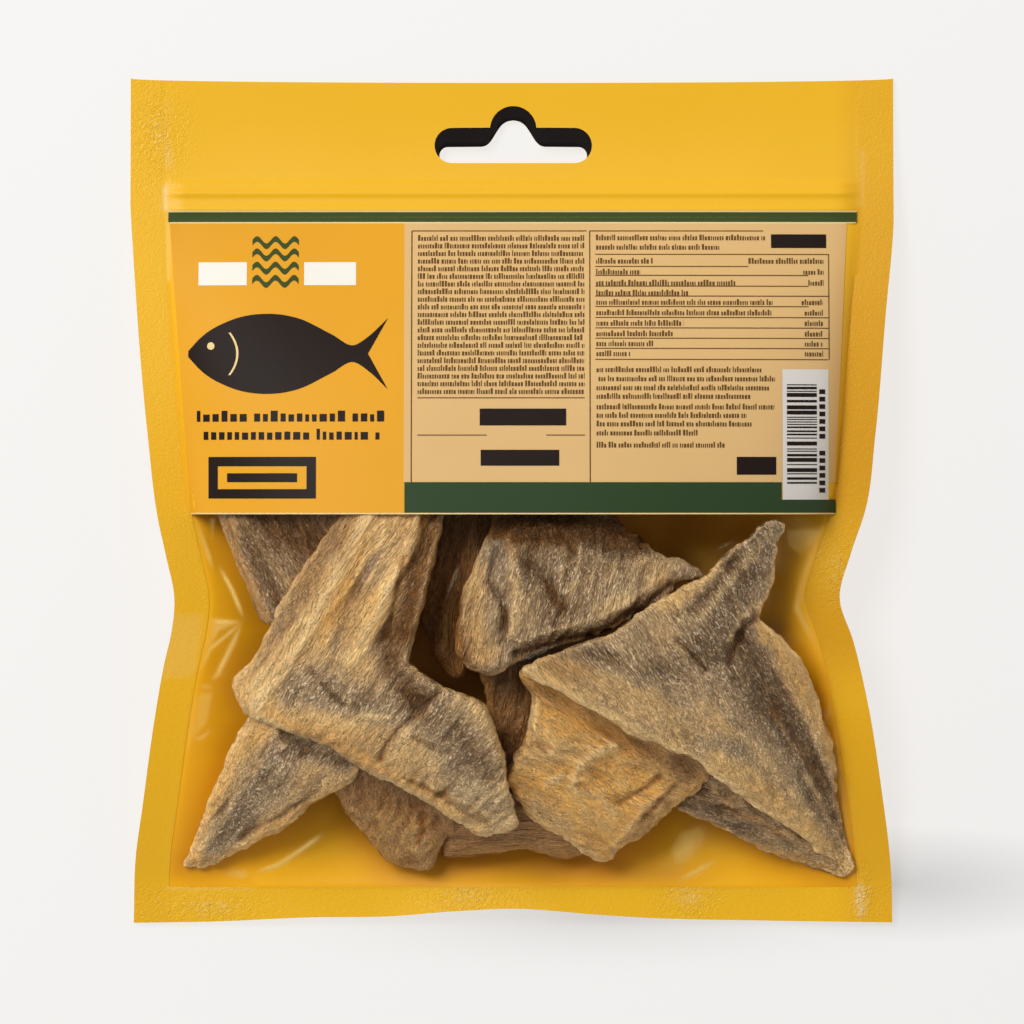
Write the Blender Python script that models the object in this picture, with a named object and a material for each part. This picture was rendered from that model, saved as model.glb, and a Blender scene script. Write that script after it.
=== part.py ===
"""A sealed pouch of dried stockfish steaks, lying on its back with the clear window upwards.

All sizes are in millimetres and become metres in finished_object. +X is to the right of the
printed face, +Y towards the hang slot and +Z out of the face. The origin is on the surface
that the pouch lies on, under the middle of its box.
"""

import math
from collections import namedtuple

import bmesh
import bpy
import numpy as np
from mathutils import Vector, noise

MM = 0.001

# The whole pouch, and the film that it is made of.
HALF_WIDTH = 77.3
HALF_LENGTH = 85.6
FILM = 0.6
SEAL_WIDTH = 7.0
TOP_EDGE_DIP = 0.9

# Where the parts of the face begin and end along Y.
SEAL_TOP_Y = -78.3
WINDOW_TOP_Y = -2.5
LABEL_LOW_Y = -1.7
ZIP_LOW_Y = 58.9
ZIP_HIGH_Y = 64.6

# How far each side edge is drawn in by the contents: (Y, distance), from the bottom up.
LEFT_PULL = ((-85.6, 0.6), (-72, 1.1), (-62.2, 2.5), (-45.2, 4.9), (-33.1, 7.0), (-26, 8.6),
             (-20, 9.1), (-11.2, 7.4), (-3.9, 5.8), (13, 3.7), (48.7, 0.7), (60, 0), (85.6, 0))
RIGHT_PULL = ((-85.6, 0.2), (-76.8, 0.4), (-57.4, 2.7), (-40.4, 5.5), (-28.2, 8.4), (-19.7, 11.1),
              (-11.2, 9.0), (-1.5, 5.8), (13, 3.9), (39.8, 1.5), (53, 0.2), (85.6, 0))
# How far the bottom edge is drawn up by the wave in it: (X, distance). The wave also stands
# WAVE_RISE times that over the surface, and dies out at WAVE_TOP_Y.
BOTTOM_LIFT = ((-77, 0), (-59.7, 0.3), (-41.9, 1.1), (-24, 1.4), (-12, 2.4), (2, 2.9), (16, 1.8),
               (27.5, 1.05), (50, 0.5), (77, 0.1))
WAVE_RISE = 1.3
WAVE_TOP_Y = -68.0

# Along Y: the height of the sealed edge over the surface, the swell of the face over that
# edge, and how full the back is, 0 where the two films meet and 1 where it lies flat.
EDGE_HEIGHT = ((-85.6, 0.8), (-78.3, 1.9), (-70, 4.5), (-60, 7.5), (-45, 10.5), (-25, 11.5),
               (0, 11.5), (20, 10.3), (40, 7.5), (55, 4.4), (66, 2.4), (76, 1.1), (85.6, 0.5))
FACE_SWELL = ((-78.3, 0), (-74, 6), (-66, 13.5), (-55, 19), (-40, 22), (-20, 23), (0, 20.5),
              (20, 15.5), (40, 8.5), (52, 3.5), (60, 1.0), (66, 0.3), (85.6, 0.2))
BACK_FULLNESS = ((-78.3, 0), (-70, 0.62), (-60, 0.9), (-50, 1), (10, 1), (30, 0.8), (50, 0.35),
                 (60, 0.05), (66, 0), (85.6, 0))
SWELL_POWER = 2.6
SWELL_ROUNDNESS = 0.62
FLAT_SHARE = 1.25
ZIP_RISE = 0.7
ZIP_BEADS = ((ZIP_HIGH_Y - 1.2, 0.9), (ZIP_LOW_Y + 1.0, 0.7))
ZIP_BEAD_WIDTH = 0.8
ZIP_STEP = 0.35

# The grid that the pouch is shaped from.
SEAL_COLUMNS = 2
FACE_COLUMNS = 26
WINDOW_ROW = 4.6
LABEL_ROW = 8.0
HEADER_ROWS = 3

# The hang slot: round-ended arms with a round lobe. The rear film's own slot is smaller and
# sits lower, so a step of it shows along the front slot's upper edge.
Slot = namedtuple("Slot", "half_width arm_radius arm_y lobe_radius lobe_y flare")
FRONT_SLOT = Slot(15.95, 3.58, 71.98, 4.67, 75.14, 0.0)
REAR_SLOT = Slot(14.95, 1.75, 69.89, 3.5, 73.6, 1.4)
ARC_STEPS = 8
CUTTER_REACH = 12.0
MARGIN = 1.0

# The steaks behind the window. share is how far a steak's top reaches from the sealed edge's
# level to the film, and the film itself sinks to WINDOW_SHARE between them.
WINDOW_SHARE = 0.74
WINDOW_FADE = 3.0
Steak = namedtuple("Steak", "name share centre outline")
STEAKS = (
    Steak("long_steak", 0.98, (-34.8, -36), (
        (-32, 3), (-39.1, -9), (-46.2, -19.5), (-50.6, -29.9), (-56.1, -36.5), (-53.8, -42.6),
        (-36.8, -49.3), (-22.1, -57.8), (-7.5, -66.9), (0.2, -66.3), (-1.2, -55.4), (-6.1, -40.6),
        (-19.6, -33.5), (-18.4, -22.4), (-14.6, 2))),
    Steak("upper_steak", 0.96, (9.7, -18.1), (
        (-3.6, 2), (18.6, 1), (30, -11), (38.5, -15.1), (31.6, -18.9), (17.8, -26.4), (3, -31.3),
        (-5.7, -34.7), (-10.9, -31.3), (-10.1, -20.5), (-6.5, -10.6))),
    Steak("star_steak", 1.0, (41.1, -33.3), (
        (2.2, -33.9), (20.9, -26), (32.8, -18.1), (42.5, -11.4), (54.9, -4.6), (52.6, -16.1),
        (49.8, -23), (59.5, -34.5), (65.6, -52.5), (67.4, -68.5), (69.2, -74.6), (58.5, -68.1),
        (46.2, -59.4), (36.8, -51.7), (18.6, -43.4))),
    Steak("lower_steak", 0.9, (19.8, -54.6), (
        (2.8, -35.9), (2.2, -48.9), (-1.6, -55.4), (4.7, -64.9), (17.8, -73), (26.9, -67.3),
        (39.7, -55.4), (25.9, -40.4))),
    Steak("left_tail", 0.87, (-48.6, -56.6), (
        (-52.2, -45), (-58.5, -54.4), (-62.8, -64.9), (-66, -73.4), (-56.1, -71.4),
        (-44.5, -65.3), (-31.4, -55.2), (-36.8, -46.5))),
    Steak("lower_left_steak", 0.84, (-23.7, -62.7), (
        (-35.6, -58.6), (-28.9, -69.1), (-21.5, -74), (-17.6, -75), (-11.9, -65.3),
        (-16.6, -52.5), (-28.7, -50.5))),
    Steak("back_bottom_steak", 0.81, (1.6, -65.7), (
        (-13.2, -72), (2.2, -70.3), (12.6, -72.4), (17.8, -66.7), (1.6, -58.6), (-12.6, -60.6))),
    Steak("right_tail", 0.84, (50, -62), (
        (39.7, -56.2), (33.4, -61.6), (45.7, -67.7), (58.5, -73), (67, -75.4), (58.3, -58.6),
        (46.2, -48.5))),
    Steak("back_left_steak", 0.88, (-46, -12), (
        (-58, -1), (-56.1, -11.2), (-49.4, -24.8), (-36.8, -20.1), (-30.8, -1))),
)
CURVE_STEPS = 2
# Rings of a steak's top, from its rim to its middle: (size, height lost to the rim's round).
STEAK_RINGS = ((1.0, 0.55), (0.94, 0.12), (0.75, 0), (0.5, 0), (0.25, 0))
CRAG = 0.9
CRAG_LENGTH = 8.0

YELLOW_FILM = (0.83, 0.42, 0.025, 1.0)


def clear_scene():
    for found in list(bpy.data.objects):
        bpy.data.objects.remove(found, do_unlink=True)


def new_collection(name):
    collection = bpy.data.collections.new(name)
    bpy.context.scene.collection.children.link(collection)
    return collection


def film_material():
    material = bpy.data.materials.new("yellow_film")
    material.use_nodes = True
    shader = material.node_tree.nodes["Principled BSDF"]
    shader.inputs["Base Color"].default_value = YELLOW_FILM
    shader.inputs["Roughness"].default_value = 0.45
    shader.inputs["Metallic"].default_value = 0.0
    return material


def along(stations, where):
    """The value at where on a smooth curve through the stations, each a (place, value)."""
    places, values = np.array(stations, float).T
    where = min(max(where, places[0]), places[-1])
    slopes = np.gradient(values, places)
    i = min(int(np.searchsorted(places, where, side="right")) - 1, len(places) - 2)
    span = places[i + 1] - places[i]
    t = (where - places[i]) / span
    rise = values[i + 1] - values[i]
    start = slopes[i] * span - rise
    end = rise - slopes[i + 1] * span
    return float(values[i] + t * rise + t * (1 - t) * ((1 - t) * start + t * end))


def side_edges(y):
    """X of the pouch's left and right edge at this Y."""
    return max(along(LEFT_PULL, y), 0) - HALF_WIDTH, HALF_WIDTH - max(along(RIGHT_PULL, y), 0)


def seam_distance(x, y):
    """0 at the side seals' inner edge and 1 on the middle line."""
    left, right = side_edges(y)
    half = (right - left) / 2 - SEAL_WIDTH
    offset = abs(x - (left + right) / 2)
    return min(max(1 - offset / half, 0), 1)


def across(x, y):
    """The share of the full swell that the face has here, along X."""
    reach = seam_distance(x, y)
    return (1 - (1 - reach) ** SWELL_POWER) ** SWELL_ROUNDNESS if reach > 0 else 0.0


def edge_height(x, y):
    """Height of the sealed edge, and of the plane between the films, over the surface."""
    fade = min(max((WAVE_TOP_Y - y) / (WAVE_TOP_Y + HALF_LENGTH), 0), 1) ** 1.5
    return along(EDGE_HEIGHT, y) + WAVE_RISE * along(BOTTOM_LIFT, x) * fade


def swell(x, y):
    """How far the face stands over the sealed edge's level."""
    return max(along(FACE_SWELL, y), 0) * across(x, y)


def zip_height(x, y):
    """The press-to-close band: a low plateau between the side seals with two beads on it."""
    if seam_distance(x, y) <= 0 or not ZIP_LOW_Y <= y <= ZIP_HIGH_Y:
        return 0.0
    beads = sum(size * max(0, 1 - abs(y - bead_y) / ZIP_BEAD_WIDTH) for bead_y, size in ZIP_BEADS)
    return ZIP_RISE * min(1, 4 * seam_distance(x, y)) + beads


def face_share(y):
    """The film sinks between the steaks below the printed panel's lower edge."""
    fade = min(max((WINDOW_TOP_Y - y) / WINDOW_FADE, 0), 1)
    return 1 - (1 - WINDOW_SHARE) * fade


def face_z(x, y):
    return edge_height(x, y) + FILM / 2 + face_share(y) * swell(x, y) + zip_height(x, y)


def back_z(x, y):
    """The back is flat where it is full, and rises to the sealed edge round that."""
    fullness = max(along(BACK_FULLNESS, y), 0) * across(x, y)
    return (edge_height(x, y) - FILM / 2) * (1 - min(1, FLAT_SHARE * fullness))


def row_lines():
    """Y of the grid's rows, closest where the face bends most."""
    window_rows = round((WINDOW_TOP_Y - SEAL_TOP_Y) / WINDOW_ROW)
    label_rows = round((ZIP_LOW_Y - LABEL_LOW_Y) / LABEL_ROW)
    seal = np.linspace(-HALF_LENGTH, SEAL_TOP_Y, SEAL_COLUMNS, endpoint=False)
    window = np.linspace(SEAL_TOP_Y, WINDOW_TOP_Y, window_rows + 1)
    label = np.linspace(LABEL_LOW_Y, ZIP_LOW_Y, label_rows + 1)
    band = [ZIP_HIGH_Y - ZIP_STEP, ZIP_HIGH_Y, ZIP_HIGH_Y + ZIP_STEP]
    for bead_y, _ in ZIP_BEADS:
        band += [bead_y - ZIP_BEAD_WIDTH, bead_y, bead_y + ZIP_BEAD_WIDTH]
    header = np.linspace(ZIP_HIGH_Y, HALF_LENGTH, HEADER_ROWS + 1)[1:]
    return sorted([*seal, *window, *label, *band, *header])


def column_x(column, y):
    """X of a grid column: evenly spaced in each side seal, and again between the seals."""
    left, right = side_edges(y)
    if column <= SEAL_COLUMNS:
        return left + SEAL_WIDTH * column / SEAL_COLUMNS
    if column >= SEAL_COLUMNS + FACE_COLUMNS:
        return right - SEAL_WIDTH * (2 * SEAL_COLUMNS + FACE_COLUMNS - column) / SEAL_COLUMNS
    share = (column - SEAL_COLUMNS) / FACE_COLUMNS
    return left + SEAL_WIDTH + (right - left - 2 * SEAL_WIDTH) * share


def edge_shift(x, row_y):
    """The top edge dips in the middle, and the bottom edge is lifted by its wave."""
    if row_y >= HALF_LENGTH:
        return -TOP_EDGE_DIP * (1 - (x / HALF_WIDTH) ** 2) ** 0.5 if abs(x) < HALF_WIDTH else 0.0
    if row_y <= -HALF_LENGTH:
        return along(BOTTOM_LIFT, x)
    return 0.0


def pouch_body():
    """Both films as one closed grid: a flat sheet, thickened, then drawn out to its shape."""
    rows = row_lines()
    columns = 2 * SEAL_COLUMNS + FACE_COLUMNS
    bm = bmesh.new()
    bmesh.ops.create_grid(bm, x_segments=columns, y_segments=len(rows) - 1, size=1)
    raised = bmesh.ops.extrude_face_region(bm, geom=bm.faces[:])["geom"]
    front = {item for item in raised if isinstance(item, bmesh.types.BMVert)}
    for vert in bm.verts:
        column = round((vert.co.x + 1) / 2 * columns)
        row_y = rows[round((vert.co.y + 1) / 2 * (len(rows) - 1))]
        x = column_x(column, row_y)
        y = row_y + edge_shift(x, row_y)
        vert.co = (x, y, face_z(x, row_y) if vert in front else back_z(x, row_y))
    bmesh.ops.recalc_face_normals(bm, faces=bm.faces[:])
    return bm


def round_outline(points):
    """The closed outline with CURVE_STEPS points to each span of a smooth curve."""
    corners = [Vector(point) for point in points]
    rounded = []
    for i, start in enumerate(corners):
        before, end, after = corners[i - 1], corners[(i + 1) % len(corners)], corners[(i + 2) % len(corners)]
        lead, tail = (end - before) / 2, (after - start) / 2
        for step in range(CURVE_STEPS):
            t = step / CURVE_STEPS
            turn = lead * t * (1 - t) ** 2 - tail * t * t * (1 - t)
            rounded.append(start + (end - start) * t * t * (3 - 2 * t) + turn)
    return rounded


def steak_top(x, y, steak, rim_loss):
    """The steak's top: under the film, craggy, and lower at its rounded rim."""
    share = steak.share - rim_loss * (steak.share - WINDOW_SHARE)
    height = swell(x, y)
    place = Vector((x / CRAG_LENGTH, y / CRAG_LENGTH, 10 * steak.share))
    crag = CRAG * noise.noise(place) * min(1, height / 10)
    return edge_height(x, y) + FILM / 2 + share * height + crag


def steak_body(steak):
    """A steak as a wall on its outline, closed by rings that step in to its middle."""
    centre = Vector(steak.centre)
    outline = round_outline(steak.outline)
    bm = bmesh.new()
    spoke = bm.verts.layers.int.new("spoke")
    bmesh.ops.create_circle(bm, cap_ends=True, segments=len(outline), radius=1)
    for number, vert in enumerate(bm.verts):
        vert[spoke] = number
        vert.co = (*outline[number], edge_height(*outline[number]))
    bottom = top = bm.faces[:]
    for size, rim_loss in STEAK_RINGS:
        raised = bmesh.ops.extrude_face_region(bm, geom=top)["geom"]
        if top != bottom:
            bmesh.ops.delete(bm, geom=top, context="FACES_ONLY")
        top = [item for item in raised if isinstance(item, bmesh.types.BMFace)]
        for vert in top[0].verts:
            x, y = centre + (outline[vert[spoke]] - centre) * size
            vert.co = (x, y, steak_top(x, y, steak, rim_loss))
    bmesh.ops.poke(bm, faces=top)
    bmesh.ops.recalc_face_normals(bm, faces=bm.faces[:])
    return bm


def arc(x, y, radius, start, end):
    """Points on an arc, both ends included, with its angles in degrees."""
    angles = [math.radians(start + (end - start) * i / ARC_STEPS) for i in range(ARC_STEPS + 1)]
    return [(x + radius * math.cos(angle), y + radius * math.sin(angle)) for angle in angles]


def slot_outline(slot):
    """Anticlockwise from the right arm's end, over the lobe, to the left arm's end."""
    top_y = slot.arm_y + slot.arm_radius
    end_x = slot.half_width - slot.arm_radius
    foot = math.degrees(math.asin((top_y + slot.flare - slot.lobe_y) / slot.lobe_radius))
    outline = arc(end_x, slot.arm_y, slot.arm_radius, -90, 90)
    if slot.flare:
        outline.append((slot.lobe_radius + 1.5 * slot.flare, top_y))
    outline += arc(0, slot.lobe_y, slot.lobe_radius, foot, 180 - foot)
    if slot.flare:
        outline.append((-slot.lobe_radius - 1.5 * slot.flare, top_y))
    return outline + arc(-end_x, slot.arm_y, slot.arm_radius, 90, 270)


def slot_cutter(slot, lowest):
    """The slot's outline raised through the header; lowest gives Z of its foot at a place."""
    outline = slot_outline(slot)
    bm = bmesh.new()
    bmesh.ops.create_circle(bm, cap_ends=True, segments=len(outline), radius=1)
    for vert, (x, y) in zip(bm.verts, outline):
        vert.co = (x, y, lowest(x, y))
    raised = bmesh.ops.extrude_face_region(bm, geom=bm.faces[:])["geom"]
    for item in raised:
        if isinstance(item, bmesh.types.BMVert):
            item.co.z = CUTTER_REACH
    bmesh.ops.recalc_face_normals(bm, faces=bm.faces[:])
    return bm


def finished_object(name, bm, collection):
    """Turns the millimetres of a shape into metres and puts it in a collection."""
    bmesh.ops.scale(bm, vec=(MM, MM, MM), verts=bm.verts)
    mesh = bpy.data.meshes.new(name)
    bm.to_mesh(mesh)
    bm.free()
    made = bpy.data.objects.new(name, mesh)
    collection.objects.link(made)
    return made


def as_cutter(made):
    made.hide_render = True
    made.display_type = "WIRE"
    return made


def apply_boolean(body, operation, **operand):
    """Cuts or joins by the EXACT solver and keeps the result as the body's own mesh."""
    boolean = body.modifiers.new(operation.lower(), "BOOLEAN")
    boolean.operation = operation
    boolean.solver = "EXACT"
    for key, value in operand.items():
        setattr(boolean, key, value)
    graph = bpy.context.evaluated_depsgraph_get()
    result = bpy.data.meshes.new_from_object(body.evaluated_get(graph))
    body.modifiers.remove(boolean)
    body.data = result


def build_pouch():
    pouch_collection = new_collection("stockfish_pouch")
    steak_collection = new_collection("steaks")
    cutter_collection = new_collection("cutters")
    pouch = finished_object("pouch", pouch_body(), pouch_collection)
    for steak in STEAKS:
        finished_object(steak.name, steak_body(steak), steak_collection)
    apply_boolean(pouch, "UNION", operand_type="COLLECTION", collection=steak_collection)
    for steak in list(steak_collection.objects):
        bpy.data.objects.remove(steak)
    bpy.data.collections.remove(steak_collection)

    recess = finished_object("front_slot", slot_cutter(FRONT_SLOT, edge_height), cutter_collection)
    through = finished_object("rear_slot", slot_cutter(REAR_SLOT, lambda x, y: -MARGIN), cutter_collection)
    for cutter in (recess, through):
        apply_boolean(pouch, "DIFFERENCE", object=as_cutter(cutter))
    pouch.data.materials.clear()
    pouch.data.materials.append(film_material())
    pouch.data.shade_smooth()
    pouch.data.set_sharp_from_angle(angle=math.radians(30))


clear_scene()
build_pouch()
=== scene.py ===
"""How the pouch of dried stockfish steaks looks: films, steaks, print, floor, light and camera.

Sizes are in millimetres until finished_piece turns them into metres. +X is to the right of the
printed face, +Y towards the hang slot and +Z out of the face, as in the model that it dresses.
"""

import math
import random
from collections import namedtuple

import bmesh
import bpy
import numpy as np
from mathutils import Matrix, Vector, noise


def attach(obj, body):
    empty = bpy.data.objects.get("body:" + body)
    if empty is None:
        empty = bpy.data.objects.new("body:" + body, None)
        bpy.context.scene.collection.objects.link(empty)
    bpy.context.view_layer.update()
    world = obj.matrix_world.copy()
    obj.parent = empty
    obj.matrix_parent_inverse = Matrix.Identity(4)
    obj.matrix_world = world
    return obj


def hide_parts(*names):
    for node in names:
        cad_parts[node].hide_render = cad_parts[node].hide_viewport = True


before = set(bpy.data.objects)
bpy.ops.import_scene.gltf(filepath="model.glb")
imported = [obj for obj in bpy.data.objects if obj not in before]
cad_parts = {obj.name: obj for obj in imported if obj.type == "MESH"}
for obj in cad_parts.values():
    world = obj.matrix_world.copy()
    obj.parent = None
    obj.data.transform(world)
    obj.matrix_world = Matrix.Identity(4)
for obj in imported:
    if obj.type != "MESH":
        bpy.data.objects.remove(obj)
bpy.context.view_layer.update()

# ---------------------------------------------------------------------------------------------
# Back film. One sheet of yellow laminate, matt outside, heat-sealed to the front sheet along
# both sides and the bottom. It lies flat where the steaks weigh it down, and its inside is the
# yellow that shows round the steaks.
# ---------------------------------------------------------------------------------------------
MM = 0.001
HALF_WIDTH = 77.3
HALF_LENGTH = 85.6
FILM = 0.6
SEAL = 7.0
TOP_DIP = 0.9
SEAL_TOP_Y = -78.3
WINDOW_TOP_Y = -2.5
ZIP_LOW_Y = 58.9
ZIP_HIGH_Y = 64.6
ZIP_EDGE = 0.6

# How far each side edge is drawn in, as (Y, distance).
LEFT_PULL = ((-85.6, 0.6), (-72, 1.1), (-62.2, 2.5), (-45.2, 4.9), (-33.1, 7.0), (-26, 8.6),
             (-20, 9.1), (-11.2, 7.4), (-3.9, 5.8), (13, 3.7), (48.7, 0.7), (60, 0), (85.6, 0))
RIGHT_PULL = ((-85.6, 0.2), (-76.8, 0.4), (-57.4, 2.7), (-40.4, 5.5), (-28.2, 8.4), (-19.7, 11.1),
              (-11.2, 9.0), (-1.5, 5.8), (13, 3.9), (39.8, 1.5), (53, 0.2), (85.6, 0))
# The wavy bottom edge: how far it is drawn up, as (X, distance), and how much of that it rises.
BOTTOM_LIFT = ((-77, 0), (-59.7, 0.3), (-41.9, 1.1), (-24, 1.4), (-12, 2.4), (2, 2.9), (16, 1.8),
               (27.5, 1.05), (50, 0.5), (77, 0.1))
WAVE_RISE = 1.3
WAVE_TOP_Y = -68.0
WAVE_FADE = 1.5
# Along the pouch, as (Y, value): the height of the sealed edges, how far the face swells over
# them, and the share of the way that the back falls from them to the floor.
EDGE_HEIGHT = ((-85.6, 0.8), (-78.3, 1.9), (-70, 4.5), (-60, 7.5), (-45, 10.5), (-25, 11.5),
               (0, 11.5), (20, 10.3), (40, 7.5), (55, 4.4), (66, 2.4), (76, 1.1), (85.6, 0.5))
FACE_SWELL = ((-78.3, 0), (-74, 6), (-66, 13.5), (-55, 19), (-40, 22), (-20, 23), (0, 20.5),
              (20, 15.5), (40, 8.5), (52, 3.5), (60, 1.0), (66, 0.3), (85.6, 0.2))
BACK_FULLNESS = ((-78.3, 0), (-70, 0.62), (-60, 0.9), (-50, 1), (10, 1), (30, 0.8), (50, 0.35),
                 (60, 0.05), (66, 0), (85.6, 0))
# Across the pouch: how steep and how round the films rise from the side seals.
SWELL_POWER = 2.6
SWELL_ROUNDNESS = 0.62
FLAT_SHARE = 1.25
BOWL_EASE = 0.12
FLOOR_GAP = 0.05
SEAL_RISE = 0.44
SEAL_RIM = 2.0
RIPPLE = 0.35
RIPPLE_LENGTH = 24.0

# Where the sheet's grid lines fall: a share of the grid at each mark, closest at the zip.
SEAL_U = 0.9
ROW_SHARES = (-1.0, -0.93, -0.13, 0.42, 0.74, 1.0)
ROW_PLACES = (-HALF_LENGTH, SEAL_TOP_Y, WINDOW_TOP_Y, ZIP_LOW_Y - ZIP_EDGE, ZIP_HIGH_Y + ZIP_EDGE,
              HALF_LENGTH)
BACK_COLUMNS, BACK_ROWS = 120, 200


def along(stations, where):
    """Values at where on a smooth curve through the stations, each a (place, value)."""
    places, values = np.array(stations, float).T
    where = np.clip(np.asarray(where, float), places[0], places[-1])
    slopes = np.gradient(values, places)
    i = np.clip(np.searchsorted(places, where, side="right") - 1, 0, len(places) - 2)
    span = places[i + 1] - places[i]
    t = (where - places[i]) / span
    rise = values[i + 1] - values[i]
    start = slopes[i] * span - rise
    end = rise - slopes[i + 1] * span
    return values[i] + t * rise + t * (1 - t) * ((1 - t) * start + t * end)


def wobble(x, y, length, layer=0.0):
    """Smooth noise from -1 to 1 over the sheet, with features of about this length."""
    places = np.broadcast_arrays(x, y)
    return np.array([noise.noise(Vector((a / length, b / length, layer)))
                     for a, b in zip(places[0].ravel(), places[1].ravel())]).reshape(places[0].shape)


def side_edges(y):
    """X of the left and of the right edge."""
    left = np.maximum(along(LEFT_PULL, y), 0) - HALF_WIDTH
    right = HALF_WIDTH - np.maximum(along(RIGHT_PULL, y), 0)
    return left, right


def seam_distance(x, y):
    """0 at the side seals' inner edge and 1 on the middle line."""
    left, right = side_edges(y)
    half = (right - left) / 2 - SEAL
    return np.clip(1 - np.abs(x - (left + right) / 2) / half, 0, 1)


def seam_gap(x, y):
    """How far inside the side seals each place is, in mm; below 0 on them."""
    left, right = side_edges(y)
    return np.minimum(x - left, right - x) - SEAL


def across(x, y):
    """How full the belly is across the pouch: 0 on the side seals and 1 in the middle."""
    return (1 - (1 - seam_distance(x, y)) ** SWELL_POWER) ** SWELL_ROUNDNESS


def edge_height(x, y):
    """Height of the sealed edge, and of the plane between the films, over the floor."""
    fade = np.clip((WAVE_TOP_Y - y) / (WAVE_TOP_Y + HALF_LENGTH), 0, 1) ** WAVE_FADE
    ripple = RIPPLE * (1 + wobble(x, y, RIPPLE_LENGTH)) / 2
    return along(EDGE_HEIGHT, y) + WAVE_RISE * along(BOTTOM_LIFT, x) * fade + ripple


def swell(x, y):
    """How far the face stands over its sealed edges."""
    return np.maximum(along(FACE_SWELL, y), 0) * across(x, y)


def back_z(x, y):
    """The back sheet: a shallow bowl from the side seams down to the floor."""
    inner = seam_distance(x, y)
    bowl = 1 - (1 - inner ** 2 / (inner + BOWL_EASE)) ** SWELL_POWER
    fullness = np.maximum(along(BACK_FULLNESS, y), 0) * bowl
    rim = np.exp(-(np.minimum(seam_gap(x, y), y - SEAL_TOP_Y) / SEAL_RIM) ** 2)
    edge = edge_height(x, y) - FILM / 2
    return edge * (1 - np.minimum(1, FLAT_SHARE * fullness)) + FLOOR_GAP + SEAL_RISE * rim


def places_of(bm):
    return np.array([vert.co for vert in bm.verts], float).T


def move_to(bm, x, y, z):
    for vert, place in zip(bm.verts, np.stack([x, y, z], axis=1)):
        vert.co = place


def sheet(columns, rows):
    """A flat grid drawn out to the pouch's outline: the side seals get their own columns."""
    bm = bmesh.new()
    bmesh.ops.create_grid(bm, x_segments=columns, y_segments=rows, size=1)
    u, v, _ = places_of(bm)
    y = np.interp(v, ROW_SHARES, ROW_PLACES)
    left, right = side_edges(y)
    face = left + SEAL + (u + SEAL_U) / (2 * SEAL_U) * (right - left - 2 * SEAL)
    x = np.where(u < -SEAL_U, left + (u + 1) / (1 - SEAL_U) * SEAL, face)
    x = np.where(u > SEAL_U, right - (1 - u) / (1 - SEAL_U) * SEAL, x)
    top_dip = TOP_DIP * np.sqrt(np.maximum(1 - (x / HALF_WIDTH) ** 2, 0))
    top_share = np.clip((y - ZIP_HIGH_Y) / (HALF_LENGTH - ZIP_HIGH_Y), 0, 1)
    bottom_share = np.clip((SEAL_TOP_Y - y) / (SEAL_TOP_Y + HALF_LENGTH), 0, 1)
    y = y - top_dip * top_share ** 2 + along(BOTTOM_LIFT, x) * bottom_share
    return bm, x, y


def finished_piece(name, bm, material):
    """Turns a shape from millimetres to metres and makes it a smooth-shaded object."""
    bmesh.ops.scale(bm, vec=(MM, MM, MM), verts=bm.verts)
    mesh = bpy.data.meshes.new(name)
    bm.to_mesh(mesh)
    bm.free()
    mesh.materials.append(material)
    mesh.shade_smooth()
    piece = bpy.data.objects.new(name, mesh)
    bpy.context.scene.collection.objects.link(piece)
    return piece


def new_material(name):
    """A material with its node tree, its shader and its Object coordinates."""
    material = bpy.data.materials.new(name)
    material.use_nodes = True
    tree = material.node_tree
    place = tree.nodes.new("ShaderNodeTexCoord").outputs["Object"]
    return material, tree, tree.nodes["Principled BSDF"], place


def add_node(tree, kind, settings=None, **inputs):
    """A node with its settings and inputs, by name or as i0, i1 and so on. Sockets are linked."""
    node = tree.nodes.new("ShaderNode" + kind)
    for key, value in (settings or {}).items():
        setattr(node, key, value)
    for key, value in inputs.items():
        socket = node.inputs[int(key[1:]) if key[1:].isdigit() else key.replace("_", " ")]
        if isinstance(value, bpy.types.NodeSocket):
            tree.links.new(value, socket)
        else:
            socket.default_value = value
    return node


def painted(tree, name):
    """The value that a piece is painted with under this name."""
    return add_node(tree, "Attribute", {"attribute_name": name}).outputs["Fac"]


def mottling(tree, place, scale, detail, distortion=0.0):
    """Cloudy noise from 0 to 1."""
    return add_node(tree, "TexNoise", Vector=place, Scale=scale, Detail=detail,
                    Distortion=distortion).outputs["Fac"]


def worked_out(tree, operation, *values, clamp=False):
    """What a Math node makes of one or two values."""
    inputs = {f"i{number}": value for number, value in enumerate(values)}
    return add_node(tree, "Math", {"operation": operation, "use_clamp": clamp}, **inputs).outputs[0]


def stretched(tree, value, low, high, at_low, at_high):
    """The value, from at_low where it is low or less to at_high where it is high or more."""
    return add_node(tree, "MapRange", Value=value, i1=low, i2=high, i3=at_low, i4=at_high).outputs[0]


def blended(tree, share, base, top, how="MIX"):
    """The base colour with this share of the top colour laid over it."""
    settings = {"data_type": "RGBA", "blend_type": how}
    return add_node(tree, "Mix", settings, i0=share, i6=base, i7=top).outputs[2]


def relief(tree, height, strength, depth, under=None):
    """A bump of this depth in metres, laid over the bump under it where there is one."""
    bump = add_node(tree, "Bump", Height=height, Strength=strength, Distance=depth)
    if under is not None:
        tree.links.new(under, bump.inputs["Normal"])
    return bump.outputs[0]


def set_finish(tree, shader, colour, roughness, gloss, bumps=None):
    """Gives the shader its colour, roughness, gloss and bumps."""
    tree.links.new(colour, shader.inputs["Base Color"])
    shader.inputs["Roughness"].default_value = roughness
    shader.inputs["Specular IOR Level"].default_value = gloss
    if bumps is not None:
        tree.links.new(bumps, shader.inputs["Normal"])


DEEPER = (0.66, 0.50, 0.22, 1)
HIGHLIGHT_TINT = (0.85, 0.62, 0.28, 1)
MATT_GRAIN = 2300.0


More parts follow.
